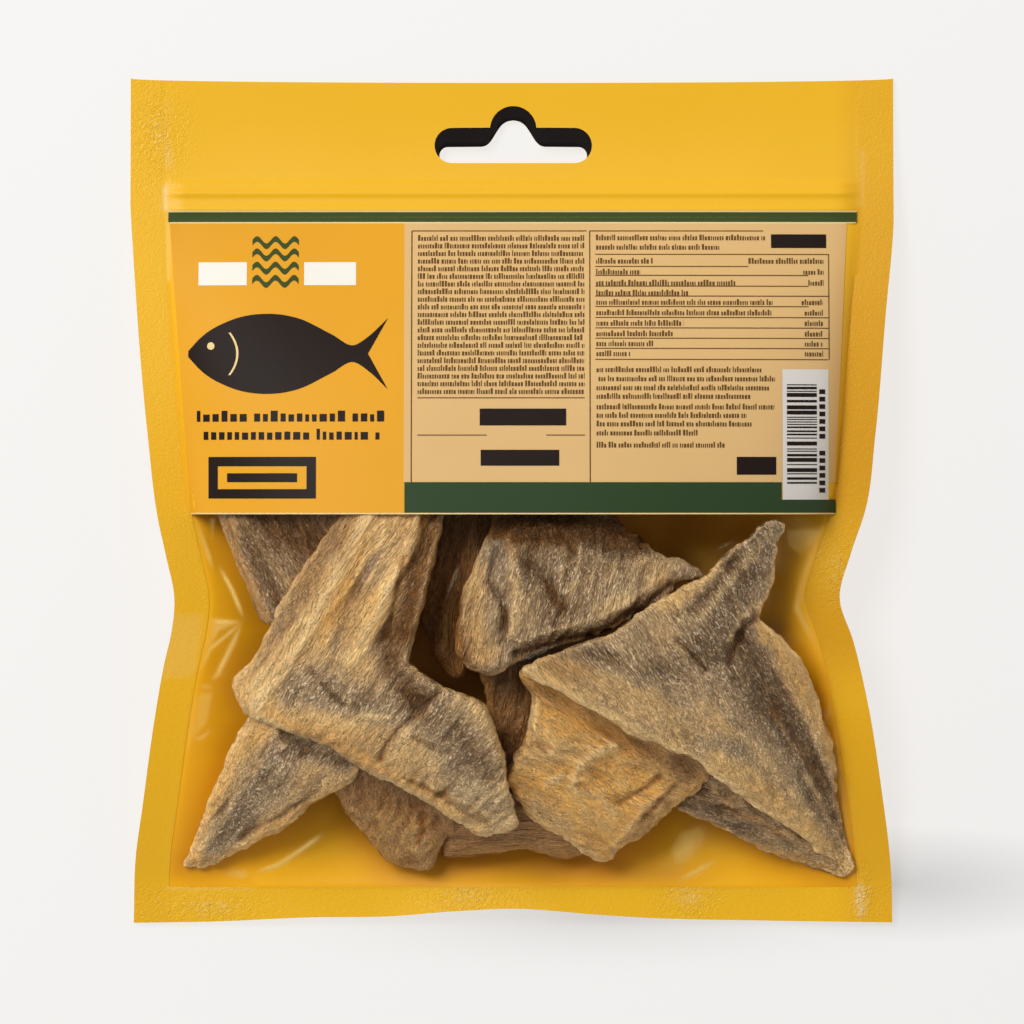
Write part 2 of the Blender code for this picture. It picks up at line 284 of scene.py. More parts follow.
def deepened(tree, colour):
    """The colour, turned deeper where a piece is painted with shade."""
    return blended(tree, painted(tree, "shade"), colour, DEEPER, "MULTIPLY")


def yellow_film(name, light, warm):
    """Matt yellow laminate, finely grained, crinkled where sealed; painted glints, highlights, shade."""
    material, tree, shader, place = new_material(name)
    colour = blended(tree, mottling(tree, place, 28.0, 2.0), light, warm)
    crinkle = mottling(tree, place, 1150.0, 1.0, 1.6)
    emboss = worked_out(tree, "MULTIPLY", crinkle, painted(tree, "sealed"))
    # Painted glints on the emboss's crests, added to the painted highlights, lighten the colour.
    painted_glints = stretched(tree, emboss, 0.58, 0.85, 0.0, 0.38)
    highlight_share = worked_out(tree, "ADD", painted(tree, "painted_highlight"), painted_glints, clamp=True)
    colour = blended(tree, highlight_share, deepened(tree, colour), HIGHLIGHT_TINT)
    grain = relief(tree, mottling(tree, place, MATT_GRAIN, 2.0), 0.35, 0.00006)
    set_finish(tree, shader, colour, 0.42, 0.3, relief(tree, emboss, 0.9, 0.00035, grain))
    return material


bm, x, y = sheet(BACK_COLUMNS, BACK_ROWS)
move_to(bm, x, y, back_z(x, y))
# Its yellow is brighter and more orange than the front sheet's: painted light for the light bounced round
# inside the pouch.
inside_yellow = yellow_film("inside_yellow", (0.98, 0.480, 0.004, 1), (0.95, 0.475, 0.004, 1))
back_film = finished_piece("back_film", bm, inside_yellow)
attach(back_film, "root")
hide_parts("pouch")

# ---------------------------------------------------------------------------------------------
# Steaks. Pieces of split, air-dried cod, hard and light: fibres run along each, torn rims curl
# up pale, partly under a painted highlight, and the flesh goes from golden where it is bare to
# grey brown where skin was, with painted shade in its troughs and on the deeper pieces. They lie
# loose in two layers between the films.
# ---------------------------------------------------------------------------------------------
VOXEL = 0.38
OUTLINE_STEPS = 10
TEAR, TEAR_LENGTH = 0.42, 2.2
FRAY, FRAY_LENGTH = 0.6, 0.8
FILM_GAP = 0.3
BACK_GAP = 0.5
LEAST_THICK = 0.8
MARK_LIFT = 1.15
BEND, BEND_LENGTH = 0.8, 9
# Ropes of flesh, strands on them and lumps: how long and how wide they are, and their rise.
ROPE_LENGTH, ROPE_WIDTH, ROPE_RISE = 22, 2.6, 0.52
STRAND_LENGTH, STRAND_WIDTH, STRAND_RISE = 9, 1.1, 0.18
ROPE_CREST, ROPE_SLOPE = 0.45, 2.2
STRAND_CREST, STRAND_SLOPE = 0.4, 2.0
LUMP_LENGTH, LUMP_RISE = 6, 0.3
# How much greyer ropes and strands turn the flesh, how pale the painted highlight on their crests
# is, and how dark the painted shade in the troughs between them.
ROPE_GREY, ROPE_PALE, ROPE_SHADE = -0.06, 0.42, -0.26
STRAND_GREY, STRAND_PALE, STRAND_SHADE = -0.05, 0.3, -0.15
LEAST_PALE, MOST_PALE, MOST_SHADE = 0.14, 0.24, 0.26
CLOUD_LENGTH, CLOUD_GREY = 10, 0.12
# Painted shade on the steaks' lower sides and in their grooves.
UNDERSIDE_SHADE = 0.35
GROOVE_SHADE, DEEPEST_GROOVE = 0.2, 1.5
# Tones over the middle one are spread further apart, and the torn upper edge is golden and pale,
# partly its own colour and partly a painted highlight.
MIDDLE_TONE, TONE_SPREAD, LEAST_TONE = 0.3, 0.16, -0.1
EDGE_WIDTH, EDGE_LOW, EDGE_GREY, EDGE_PALE, PALEST = 0.45, 0.85, -0.3, 0.5, 0.8
SEED_STEP = 20.0

# A steak: how high in the belly it lies, how thick it is inside and at its rim, the rim's width
# and drop, its fibres' angle, how grey it is and how much painted shade it takes, and then its
# outline and its marks. A mark is a ridge or a groove: its route, width and rise, how much greyer
# it is, and how much paler (its own pale flesh and a painted highlight), or darker (painted shade) where
# that is below 0.
Mark = namedtuple("Mark", "route width rise grey pale")
Steak = namedtuple("Steak", "name share thick wall rim_width rim_drop fibre tone shade outline marks")
STEAKS = (
    Steak("long_steak", 0.95, 11, 3.2, 1.7, 2.6, 55, 0.4, 0, (
        (-33, 4), (-34.6, -2.7), (-39.1, -9), (-46.2, -19.5), (-50.6, -29.9), (-56.1, -36.5),
        (-53.8, -42.6), (-47.2, -45.9), (-36.8, -49.3), (-29.4, -54.4), (-22.1, -57.8), (-13.2, -63.3),
        (-7.5, -66.9), (-3.6, -67.5), (0.2, -66.3), (1, -64.1), (-1.2, -55.4), (-2.4, -48.9),
        (-6.1, -40.6), (-13.2, -38), (-19.6, -33.5), (-20.4, -31.3), (-18.4, -22.4), (-15.2, -9.8),
        (-14.6, 3)), (
        (((-28.3, -1.9), (-32.4, -9), (-35.8, -16.1), (-39.3, -22.6), (-42.9, -29.3),
          (-46, -33.3), (-51.4, -40.4)), 1.3, 1.5, -0.23, 0.75),
        (((-29.6, -8.4), (-32.4, -15.1), (-35.2, -21.2), (-38.5, -28.2)), 1.8, 0, -0.22, 0.1),
        (((-18.2, -2.3), (-19.6, -8), (-22.7, -14.1), (-25.1, -18.5), (-27.1, -23.2),
          (-30, -28.6), (-32.4, -31.9)), 1.3, 1.3, -0.26, 0.6),
        (((-23.1, -12), (-25.9, -18.1), (-28.3, -21.8)), 1.8, 0, -0.18, 0.1),
        (((-27.5, -11), (-32.4, -20.1), (-35.8, -29.3)), 1.2, -0.6, 0.15, -0.1),
        (((-26.7, -12.7), (-29.8, -17.5)), 0.5, 0.4, -0.13, 0.5),
        (((-25.1, -5.6), (-27.1, -9.6)), 0.6, 0.3, -0.13, 0.45),
        (((-33.8, -2.9), (-40.9, -16.1), (-49, -30.3)), 3.2, -0.7, 0.04, -0.2),
        (((-35.2, -11), (-42.9, -24.2), (-51.8, -36.7)), 0.6, 0.5, -0.13, 0.4),
        (((-38.5, -18.1), (-46, -30.3), (-53, -38.4)), 0.4, 0.3, -0.07, 0.3),
        (((-41.7, -12), (-48.6, -25.2), (-55.1, -36.3)), 0.5, 0.2, -0.2, 0.4),
        (((-15.8, -1.9), (-19.2, -14.1), (-21.9, -26.6)), 2.6, -2.2, 0.15, -0.38),
        (((-21.7, -11.6), (-23.5, -19.7), (-25.5, -27.4)), 0.6, -0.9, 0, -0.4),
        (((-15, -5), (-18.2, -20.1), (-20.4, -29.3)), 0.5, 0.3, -0.07, 0.25),
        (((-55.5, -38.4), (-50.6, -42.4)), 3.2, 0.2, -0.23, 0.25),
        (((-40.5, -33.9), (-37.2, -38), (-33.8, -41.2)), 0.5, -0.7, 0.1, -0.35),
        (((-42.9, -38.4), (-33.8, -40.4), (-24.3, -42)), 3.6, -0.2, 0.36, 0),
        (((-40.9, -44), (-32.4, -44.8)), 2.4, 0.5, -0.16, 0.25),
        (((-30.4, -43.2), (-24.3, -43.6)), 0.5, 0.5, -0.13, 0.55),
        (((-25.1, -29.3), (-23.5, -34.7), (-20.2, -38.8), (-17, -40.4)), 3, -1.6, 0.25, -0.32),
        (((-21.7, -38.4), (-18.6, -42.8)), 2, -0.5, 0.15, -0.35),
        (((-14.6, -38.4), (-17.8, -41.4), (-20.2, -44), (-23.1, -46.1), (-25.7, -49.5),
          (-26.5, -52.1)), 0.6, -0.9, 0.1, -0.4),
        (((-16.2, -41.8), (-19, -44.8), (-21.7, -47.3), (-23.9, -50.5),
          (-24.3, -53.7)), 0.9, 0.8, 0, 0.3),
        (((-14.2, -43.4), (-8.9, -53.5), (-5.5, -60.6)), 6.5, 1.5, 0.26, 0),
        (((-10.9, -46.1), (-7.7, -50.1), (-4.9, -54.6)), 2.4, -0.5, 0.2, -0.36),
        (((-13.6, -39.8), (-8.1, -40.8), (-5.7, -44.4)), 1.6, 0.3, -0.07, 0.2),
        (((-20.6, -48.9), (-15.4, -52.9), (-14.6, -56.2)), 2.6, 0.5, -0.1, 0.2),
        (((-20, -47.3), (-17.8, -48.9), (-14.6, -50.3)), 0.5, -0.7, 0.1, -0.4),
        (((-13.6, -59), (-11.9, -56.4), (-10.1, -54.6)), 0.4, -0.5, 0.1, -0.35),
        (((-8.9, -58.6), (-2, -58.2)), 2.4, 0.5, -0.07, 0.35),
        (((-53, -42), (-42.9, -47.1), (-33.8, -50.9), (-25.7, -55), (-16.6, -60.8),
          (-7.7, -66.5)), 1.8, 0, -0.39, 0.22),
        (((-52.6, -43.2), (-42.9, -47.5), (-33.8, -51.9), (-26.1, -55.4), (-20.2, -59),
          (-12.6, -64.1), (-6.5, -67.3)), 0.5, 0.2, -0.13, 0.45),
        (((-21.7, -55.6), (-14.6, -59.6), (-6.5, -64.7)), 0.45, -0.7, 0, -0.5),
        (((-15.4, -58.6), (-8.5, -61.8), (-4.5, -65.5)), 0.4, -0.6, 0, -0.45),
        (((-18.6, -56.6), (-10.5, -60.4), (-3.6, -63.9)), 0.4, 0.5, -0.1, 0.45),
        (((-6.1, -66.9), (-2.4, -66.9), (0.2, -63.3)), 0.7, 0.3, -0.13, 0.4),
        (((-16.2, -3.9), (-17.8, -12), (-20.2, -20.1), (-21.7, -27.2)), 3, 0, 0.05, -0.42),
        (((-32.4, -18.1), (-34.2, -23.8)), 4, 0, -0.08, -0.2),
        (((-32.4, -6), (-32.8, -11)), 3, 0, 0, -0.22),
        (((-42.9, -46.1), (-33.8, -50.1), (-25.7, -54.1)), 2.5, 0, 0, -0.32),
        (((-36.8, -9), (-41.9, -20.1)), 4, 0, 0, -0.2),
        (((-6.9, -63.1), (-2.4, -64.3)), 2.5, 0, -0.13, 0.35),)),
    Steak("upper_steak", 0.93, 13, 3.6, 1.6, 2.2, 75, 0.74, 0.12, (
        (-4.5, 3), (-3.6, -3.3), (-6.5, -10.6), (-10.1, -20.5), (-10.9, -31.3), (-5.7, -34.7),
        (-3.2, -34.7), (3, -31.3), (12.6, -28), (17.8, -26.4), (22.9, -24), (31.6, -18.9), (32.8, -16.5),
        (38.5, -15.1), (34.4, -12), (30, -11), (22.9, -5.4), (18.6, -1), (14, 3)), (
        (((-10.1, -19.3), (-10.9, -31.3), (-5.3, -34.7)), 1.6, 0, 0.15, -0.3),
        (((-7.3, -15.1), (-8.5, -24.2), (-7.7, -30.3)), 4.2, -0.9, -0.36, 0.1),
        (((-9.3, -16.1), (-10.3, -23.2), (-10.9, -30.3)), 0.6, 0.2, -0.13, 0.3),
        (((-3.4, -10), (-4.5, -16.1), (-2.4, -20.1), (-1.2, -23), (-2, -26.2)), 0.7, -0.8, 0.4, -0.4),
        (((-1.8, -22.6), (-1, -26.6), (-2.4, -28.6)), 0.6, -0.6, 0.3, -0.4),
        (((-0.4, -7.6), (0.4, -14.1), (1, -20.1), (0.2, -26.2)), 1.3, 1, -0.23, 0.5),
        (((3.6, -20.1), (4, -24.2)), 2.4, 0.3, -0.16, 0.15),
        (((1.6, -11.2), (5.7, -14.5), (8.9, -19.3), (10.1, -21.8)), 1.2, -0.4, 0.3, -0.38),
        (((6.7, -16.5), (8.9, -21)), 0.5, -0.5, 0.2, -0.4),
        (((9.7, -14.1), (14.8, -11), (13.8, -9)), 0.5, 0.5, 0, 0.3),
        (((6.7, -9), (12.8, -9.6)), 2, 0.4, 0, 0.15),
        (((11.7, -18.1), (17.8, -15.1), (27.5, -14.1)), 3.4, 0.4, -0.16, 0.12),
        (((17.8, -21.8), (25.9, -18.5), (30.4, -15.1)), 1.8, 0.3, -0.26, 0.25),
        (((1.6, -28.2), (9.7, -25.8), (17.8, -23.8), (25.9, -19.3)), 0.7, 0.6, -0.07, 0.25),
        (((0.8, -30.7), (9.7, -28.2), (18.2, -25.8), (25.9, -21.6), (31.6, -16.9)), 1.2, -2, 0.2, -0.4),
        (((-2.8, -30.3), (-6.5, -32.7)), 2, 0, -0.2, 0.1),
        (((-6.5, -2.7), (9.7, -2.3), (27.9, -4.4)), 4.6, -3.6, 0.3, -0.52),
        (((-2.4, -6.4), (9.7, -5.6), (25.9, -8.4)), 2.8, -0.3, 0.2, -0.3),
        (((19.8, -9), (24.3, -10)), 1.6, -0.5, 0.3, -0.25),
        (((10.1, -6.4), (12.6, -10.4)), 0.5, -0.6, 0.2, -0.5),
        (((25.9, -12), (36, -13.3)), 1.2, 0.3, -0.13, 0.15),
        (((0.6, -7), (9.7, -7.6)), 4.5, 0, 0.1, -0.5),
        (((4.7, -19.1), (9.7, -22.2)), 5, 0, 0.1, -0.3),
        (((19.8, -12), (23.9, -12.4)), 5, 0, 0, -0.16),
        (((-11.5, -26.6), (-10.1, -30.7)), 2.2, 0, 0, -0.55),)),
    Steak("star_steak", 0.975, 8, 1.6, 1.2, 1.5, -52, 0.5, 0, (
        (2.2, -33.9), (10.5, -30.1), (20.9, -26), (27.3, -21.4), (32.8, -18.1), (38.1, -15.7),
        (42.5, -11.4), (46.2, -8.4), (51.6, -4.4), (54.9, -5), (53.4, -8.4), (52.6, -16.1), (49.8, -23),
        (54, -27.6), (59.5, -34.5), (63.6, -46.5), (65.6, -52.5), (65.4, -57.6), (67.4, -68.5),
        (69.3, -74.6), (65.6, -75.4), (58.5, -68.1), (51.2, -63.1), (46.2, -59.4), (40.3, -55.4),
        (36.8, -51.7), (27.3, -48.7), (18.6, -43.4), (7.9, -37.6)), (
        (((53.2, -4.8), (45.1, -18.1), (38.1, -29.3)), 4.6, 1.2, 0.36, -0.05),
        (((47.8, -11.6), (42.5, -17.7), (38.1, -23.8)), 0.8, 0.9, -0.13, 0.4),
        (((51.8, -7.2), (46.6, -13.3)), 1.2, 0.3, -0.13, 0.2),
        (((45.1, -11.2), (40.5, -18.1), (36, -22.2)), 1.2, -0.8, 0.2, -0.4),
        (((42.9, -12), (45.3, -14.1)), 0.9, -0.2, 0.3, -0.15),
        (((41.1, -14.1), (36, -17.7), (30, -21.4)), 1.3, 0.4, -0.23, 0.3),
        (((53.8, -12), (53, -18.1), (50.6, -21.8)), 0.9, 0.3, -0.29, 0.1),
        (((47.8, -14.5), (46.2, -17.1)), 1.4, -0.3, 0.3, -0.15),
        (((33.2, -28.2), (36, -31.1), (38.9, -33.9)), 0.7, -1.3, 0.2, -0.5),
        (((32.4, -28.2), (34.8, -30.7)), 0.5, 0.5, -0.07, 0.45),
        (((38.1, -28.2), (40.5, -30.3)), 2.4, -0.2, 0.25, -0.2),
        (((51, -22.4), (47, -25), (44.9, -28.6), (43.7, -32.7)), 0.8, -1.3, 0.15, -0.42),
        (((49.6, -21), (46, -23.8), (43.7, -28.2)), 0.8, 0.7, -0.07, 0.4),
        (((50.6, -23.8), (50.2, -28.2)), 1.4, 0.1, -0.33, 0.1),
        (((45.7, -28.2), (50.6, -38.4), (56.3, -46.5), (61.3, -55.6),
          (66.8, -69.7)), 3.4, -1.2, 0.55, -0.22),
        (((52.2, -40.4), (58.3, -49.5), (63.4, -58.6)), 1.2, -0.4, 0.3, -0.3),
        (((50.6, -30.7), (58.7, -45.9), (65.6, -60.6)), 0.5, -0.5, 0, -0.2),
        (((59.3, -55.6), (61.9, -59.6), (63.6, -63.7), (67.6, -70.7)), 0.5, 0.6, -0.2, 0.55),
        (((51.8, -40.4), (58.3, -52.5), (63.4, -62.7)), 0.5, 0.5, -0.07, 0.3),
        (((58.3, -49.5), (62.8, -57.6)), 0.4, 0.4, 0, 0.3),
        (((51.2, -24.6), (58.3, -36.9), (63.6, -49.5), (66.2, -60)), 1.8, 0.4, -0.39, 0.25),
        (((56.7, -38.4), (61.3, -48.5), (64.8, -54.6)), 0.5, 0.4, -0.13, 0.4),
        (((9.7, -33.3), (25.9, -40.4), (38.1, -47.5)), 5, 0.6, -0.1, 0.12),
        (((16.2, -30.3), (25.9, -34.7), (31.6, -33.9)), 2.4, -0.1, 0.3, -0.08),
        (((9.7, -30.3), (19.8, -31.3)), 1.4, -0.2, 0.25, -0.1),
        (((25.9, -28.2), (34, -40.4)), 2.4, 0, 0.1, -0.08),
        (((38.1, -48.9), (45.1, -50.5)), 2.4, -0.1, 0.3, -0.12),
        (((9.7, -34.3), (25.9, -38.8), (42.1, -50.1), (58.3, -67.1)), 4, 0.9, 0, 0),
        (((2.4, -33.9), (9.7, -38.8), (17.8, -42), (26.9, -46.9), (36, -51.7), (46.2, -59.2),
          (58.3, -69.9), (68.4, -75.4)), 0.7, 0, -0.33, 0.6),
        (((2.4, -33.1), (6.7, -35.5), (15.8, -40)), 1.4, 0.3, -0.2, 0.3),
        (((42.1, -52.5), (52.2, -60.6), (68.4, -74)), 2.8, 0.3, -0.33, 0.22),
        (((46.2, -46.5), (56.3, -58.6), (60.7, -63.7)), 0.6, 0.4, -0.13, 0.35),
        (((38.1, -40.4), (45.1, -47.5)), 0.6, 0.3, -0.13, 0.25),
        (((6.7, -31.3), (12.8, -33.9)), 4, 0, 0, -0.42),
        (((45.1, -34.3), (49.2, -42.4)), 5, 0, 0.2, -0.1),
        (((47.2, -11), (49.2, -14.1)), 4, 0, 0.05, -0.15),
        (((54.3, -33.3), (57.3, -39.4)), 3, 0, -0.13, -0.2),
        (((61.3, -68.7), (65.4, -73.2)), 4, 0, -0.33, 0.25),
        (((36, -48.1), (40.5, -50.9)), 2.5, 0, -0.1, 0.15),)),
    Steak("lower_steak", 0.77, 13, 3.6, 1.7, 2.4, -35, 0.02, 0, (
        (2.8, -34), (4, -40.6), (2.2, -48.9), (-1.6, -55.4), (0.2, -58.8), (4.7, -64.9), (9.3, -67.3),
        (14.6, -71.6), (17.8, -73), (20, -72.4), (21.7, -70.3), (26.9, -67.3), (32.4, -62),
        (39.7, -55.4), (36, -46), (22, -38)), (
        (((4.3, -40), (4.7, -48.1)), 1.1, 0.8, -0.2, 0.5),
        (((7.3, -47.1), (8.1, -49.5)), 1.6, 0.7, -0.2, 0.25),
        (((3.6, -37.1), (10.1, -40.8), (18.2, -44.8), (26.9, -50.1),
          (36, -54.6)), 2.4, -0.3, 0.15, -0.42),
        (((3.2, -51.7), (9.7, -50.1), (14.8, -50.9)), 2.8, 0, 0.34, 0.08),
        (((3.6, -49.5), (7.3, -50.1)), 0.6, -0.5, 0.1, -0.3),
        (((21.3, -49.1), (17, -50.9), (13.8, -53.5), (12.3, -57.2)), 1.1, 0.9, -0.2, 0.6),
        (((15.8, -53.1), (17.4, -55.8)), 2.2, -0.4, -0.4, -0.1),
        (((7.3, -57), (10.1, -55.6)), 0.8, 0.5, 0, 0.6),
        (((13, -58.6), (18.2, -60), (20.6, -63.1)), 0.7, 0.5, -0.1, 0.4),
        (((23.1, -52.5), (25.9, -53.3)), 0.7, 0.4, -0.1, 0.35),
        (((29.6, -55.8), (25.1, -59), (21.5, -61)), 0.7, -0.8, 0.1, -0.4),
        (((31, -58.6), (26.9, -61.8), (23.5, -66.7), (20.2, -70.3)), 0.8, 0.7, -0.1, 0.35),
        (((34.4, -57), (30, -61.8), (24.7, -68.3)), 2, -0.4, 0.25, -0.2),
        (((32.6, -57.6), (29.1, -61.2), (25.9, -64.7)), 0.5, -0.6, 0.1, -0.4),
        (((37, -54.1), (34, -52.5)), 3.2, -0.4, 0.35, -0.28),
        (((4.7, -61.8), (10.1, -65.9)), 2.8, 0, 0.28, -0.12),
        (((4.7, -63.1), (8.1, -66.5), (13.4, -69.3)), 0.6, 0.5, -0.05, 0.35),
        (((15.4, -63.7), (18.6, -65.1)), 1.8, 0.3, -0.1, 0.2),
        (((9.7, -67.7), (13.8, -70.5), (17.2, -72.8)), 0.6, 0, -0.1, 0.4),
        (((25.9, -49.5), (28.9, -53.5)), 2.4, 0, 0.2, -0.1),
        (((15.8, -47.5), (20.9, -49.5)), 5, 0, 0, -0.2),
        (((7.3, -44.4), (17.8, -60.6)), 6, 0, -0.05, 0.08),)),
    Steak("left_tail", 0.75, 8, 2.2, 1.6, 2, 52, 0.44, 0, (
        (-52.2, -43), (-56.1, -48.9), (-58.5, -54.4), (-61.1, -60.2), (-62.8, -64.9), (-64.6, -69.9),
        (-66.2, -73.2), (-65.4, -74.2), (-62.3, -74.2), (-59.3, -73.6), (-56.1, -71.2), (-50.6, -68.2),
        (-44.5, -65.3), (-40.3, -61), (-31.4, -55.2), (-34, -46), (-44.9, -40)), (
        (((-50.6, -46.1), (-56.7, -52.5), (-60.7, -60.6), (-65.2, -73.2)), 2.2, 0.3, -0.36, 0.2),
        (((-53, -45.6), (-57.5, -50.9), (-61.9, -61.8), (-66, -72.4)), 0.5, 0.2, -0.13, 0.4),
        (((-49.4, -49.5), (-53.4, -56.2), (-60.1, -63.7)), 0.6, -0.6, 0.1, -0.3),
        (((-50.6, -52.5), (-54, -57), (-57.5, -63.1), (-63.2, -70.7)), 0.7, 0.9, -0.1, 0.4),
        (((-47.8, -45.6), (-46.2, -49.5)), 0.7, 0.6, -0.13, 0.4),
        (((-46.2, -46.5), (-42.9, -49.5), (-33.8, -52.9)), 1.6, -0.6, 0.45, -0.3),
        (((-44.9, -49.5), (-52, -60.6), (-60.1, -69.7)), 3, -0.2, 0.45, 0),
        (((-46, -53.5), (-50.6, -60.6)), 1.4, 0.4, 0, 0.2),
        (((-36.8, -52.5), (-42.9, -57.6)), 2.2, 0.3, -0.03, -0.08),
        (((-39.3, -58.6), (-47, -63.7), (-55.1, -68.3)), 0.6, -0.7, 0.1, -0.35),
        (((-35.8, -58.6), (-46, -65.1), (-60.1, -72)), 1.6, 0.2, -0.23, 0.12),
        (((-42.1, -49.5), (-42.5, -52.1)), 0.4, -0.4, 0, -0.3),)),
    Steak("lower_left_steak", 0.62, 9, 2.8, 1.6, 2, 80, 0.36, 0.55, (
        (-37, -56), (-35.6, -58.6), (-32.6, -64.1), (-28.9, -69.1), (-25.1, -72.8), (-23, -73.8),
        (-21.5, -73.8), (-17.6, -75), (-15.6, -73.8), (-14.8, -72), (-13.2, -68), (-11.9, -65.3),
        (-14, -54), (-28, -50)), (
        (((-33.8, -54.6), (-22.7, -57.6), (-14.6, -60.6)), 6.5, 0, 0.08, -0.3),
        (((-25.7, -64.7), (-20.2, -67.1), (-17.6, -70.7)), 3, 0.5, -0.1, 0.32),
        (((-28.3, -66.7), (-24.3, -72.8)), 2, 0, -0.16, 0.12),
        (((-21.9, -72.4), (-18, -69.9), (-17, -67.1)), 0.6, 0.4, -0.07, 0.4),
        (((-19, -60.6), (-17.8, -66.3), (-19, -69.1)), 0.6, -0.6, 0, -0.3),
        (((-15.4, -65.9), (-14.6, -69.1)), 1.6, -0.1, 0, -0.1),
        (((-23.1, -74), (-17.8, -75), (-15.4, -73.2)), 0.8, 0.2, -0.07, 0.25),)),
    Steak("back_bottom_steak", 0.48, 8, 2.5, 1.6, 2, 5, 0.35, 0.75, (
        (-14, -70), (-13.2, -72), (-3.6, -71.2), (2.2, -70.3), (7.5, -72), (12.6, -72.2), (18, -68),
        (10, -58), (-12, -58)), (
        (((-12.6, -71), (-2.4, -71), (5.7, -70.3)), 0.8, 0.2, -0.07, 0.25),)),
    Steak("right_tail", 0.6, 8, 2.5, 1.5, 1.8, -28, 0.6, 0.35, (
        (39, -52), (38, -57), (33.4, -61.6), (36.8, -63.7), (45.7, -67.7), (51.4, -70.9), (58.5, -73.2),
        (64, -75.4), (67.5, -75.6), (62, -66), (52, -54)), (
        (((41.3, -59.6), (46.2, -61.2), (53.2, -66.7), (66.4, -74)), 1.2, 0.6, -0.1, 0.2),
        (((40.5, -57.6), (45.1, -63.1), (56.3, -67.7)), 0.6, 0.6, -0.13, 0.35),
        (((42.5, -61.8), (50.2, -65.1), (56.3, -69.1)), 0.6, -0.6, 0.1, -0.3),
        (((36, -60.6), (46.2, -66.3)), 2.6, -0.2, 0.2, -0.1),
        (((42.1, -68.3), (54.3, -71.2), (66.4, -75.2)), 1, 0.2, -0.23, 0.15),)),
    Steak("back_left_steak", 0.82, 9, 2.5, 1.6, 2, -60, 0.68, 0.6, (
        (-60, 4), (-59.3, -2.7), (-57.7, -6.9), (-56.1, -11.2), (-53, -17.9), (-51.4, -22.2),
        (-49.4, -24.8), (-44, -24), (-34, -14), (-28, 4)), (
        (((-56.7, -4.4), (-55.1, -12), (-49.4, -23.2)), 1.5, 0.5, -0.33, 0.25),
        (((-53.8, -3.9), (-44.9, -17.1)), 0.7, 0.6, -0.07, 0.2),
        (((-53, -7.2), (-49.4, -15.1), (-47.4, -20.1)), 2.2, -0.2, 0.3, 0.1),
        (((-48, -2.9), (-38.9, -9)), 3.4, -1.2, 0.1, -0.4),)),
    Steak("middle_back_steak", 0.42, 10, 3, 1.6, 2, 80, 0.45, 0.8, (
        (-7, -30), (-5.3, -38), (-4, -46), (-1, -54), (4.5, -52), (5, -40), (5, -30)), (
        (((-5.7, -36.3), (-5.7, -42.4)), 1, 0.4, -0.13, 0.2),)),
    Steak("dark_back_steak", 0.35, 10, 3, 1.6, 2, 80, 0.45, 0.92, (
        (-20, 3), (-19, -20), (-15, -32), (-10, -35), (-7, -20), (-4, 3)), ()),
)


def smooth_closed(points, steps):
    """The closed outline with this many points to each span of a smooth curve."""
    corners = [Vector(point) for point in points]
    rounded = []
    for i, start in enumerate(corners):
        before, end = corners[i - 1], corners[(i + 1) % len(corners)]
        after = corners[(i + 2) % len(corners)]
        lead, tail = (end - before) / 2, (after - start) / 2
        for step in range(steps):
            t = step / steps
            turn = lead * t * (1 - t) ** 2 - tail * t * t * (1 - t)
            rounded.append(start + (end - start) * t * t * (3 - 2 * t) + turn)
    return rounded


def segment_distance(x, y, start, end):
    """How far each place is from the straight line from start to end."""
    (ax, ay), (bx, by) = start, end
    length = (bx - ax) ** 2 + (by - ay) ** 2
    t = np.clip(((x - ax) * (bx - ax) + (y - ay) * (by - ay)) / max(length, 1e-9), 0, 1)
    return np.hypot(x - ax - t * (bx - ax), y - ay - t * (by - ay))


def route_distance(x, y, route):
    return np.min([segment_distance(x, y, a, b) for a, b in zip(route, route[1:])], axis=0)


def nearness(x, y, route, width):
    """1 on the route, falling off smoothly over this width."""
    return np.exp(-(route_distance(x, y, route) / width) ** 2)


def strokes(x, y, places):
    """Strokes of paint: each has the points that it passes, its width and its strength."""
    return sum(strength * nearness(x, y, route, width) for route, width, strength in places)


def sharpness(x, y, route, width):
    """1 on the route, falling off from a sharp crest."""
    return np.exp(0.2 - np.sqrt((route_distance(x, y, route) / width) ** 2 + 0.04))


def outline_distance(x, y, outline):
    """How far inside the outline each place is, down to 0 on it and outside it."""
    nearest = np.full(len(x), np.inf)
    inside = np.zeros(len(x), bool)
    for a, b in zip(outline, outline[1:] + outline[:1]):
        nearest = np.minimum(nearest, segment_distance(x, y, a, b))
        crosses = (a.y > y) != (b.y > y)
        with np.errstate(divide="ignore", invalid="ignore"):
            inside ^= crosses & (x < (b.x - a.x) * (y - a.y) / (b.y - a.y) + a.x)
    return np.where(inside, nearest, 0)


def torn_outline(steak, seed):
    """The steak's outline with the small scallops of a torn edge."""
    outline = smooth_closed(steak.outline, OUTLINE_STEPS)
    torn = []
    for i, point in enumerate(outline):
        side = (outline[(i + 1) % len(outline)] - outline[i - 1]).normalized()
        out = Vector((side.y, -side.x))
        coarse = noise.noise(Vector((point.x / TEAR_LENGTH, point.y / TEAR_LENGTH, seed)))
        fine = noise.noise(Vector((point.x / FRAY_LENGTH, point.y / FRAY_LENGTH, seed + 9)))
        torn.append(point + out * TEAR * (coarse + FRAY * fine))
    return torn


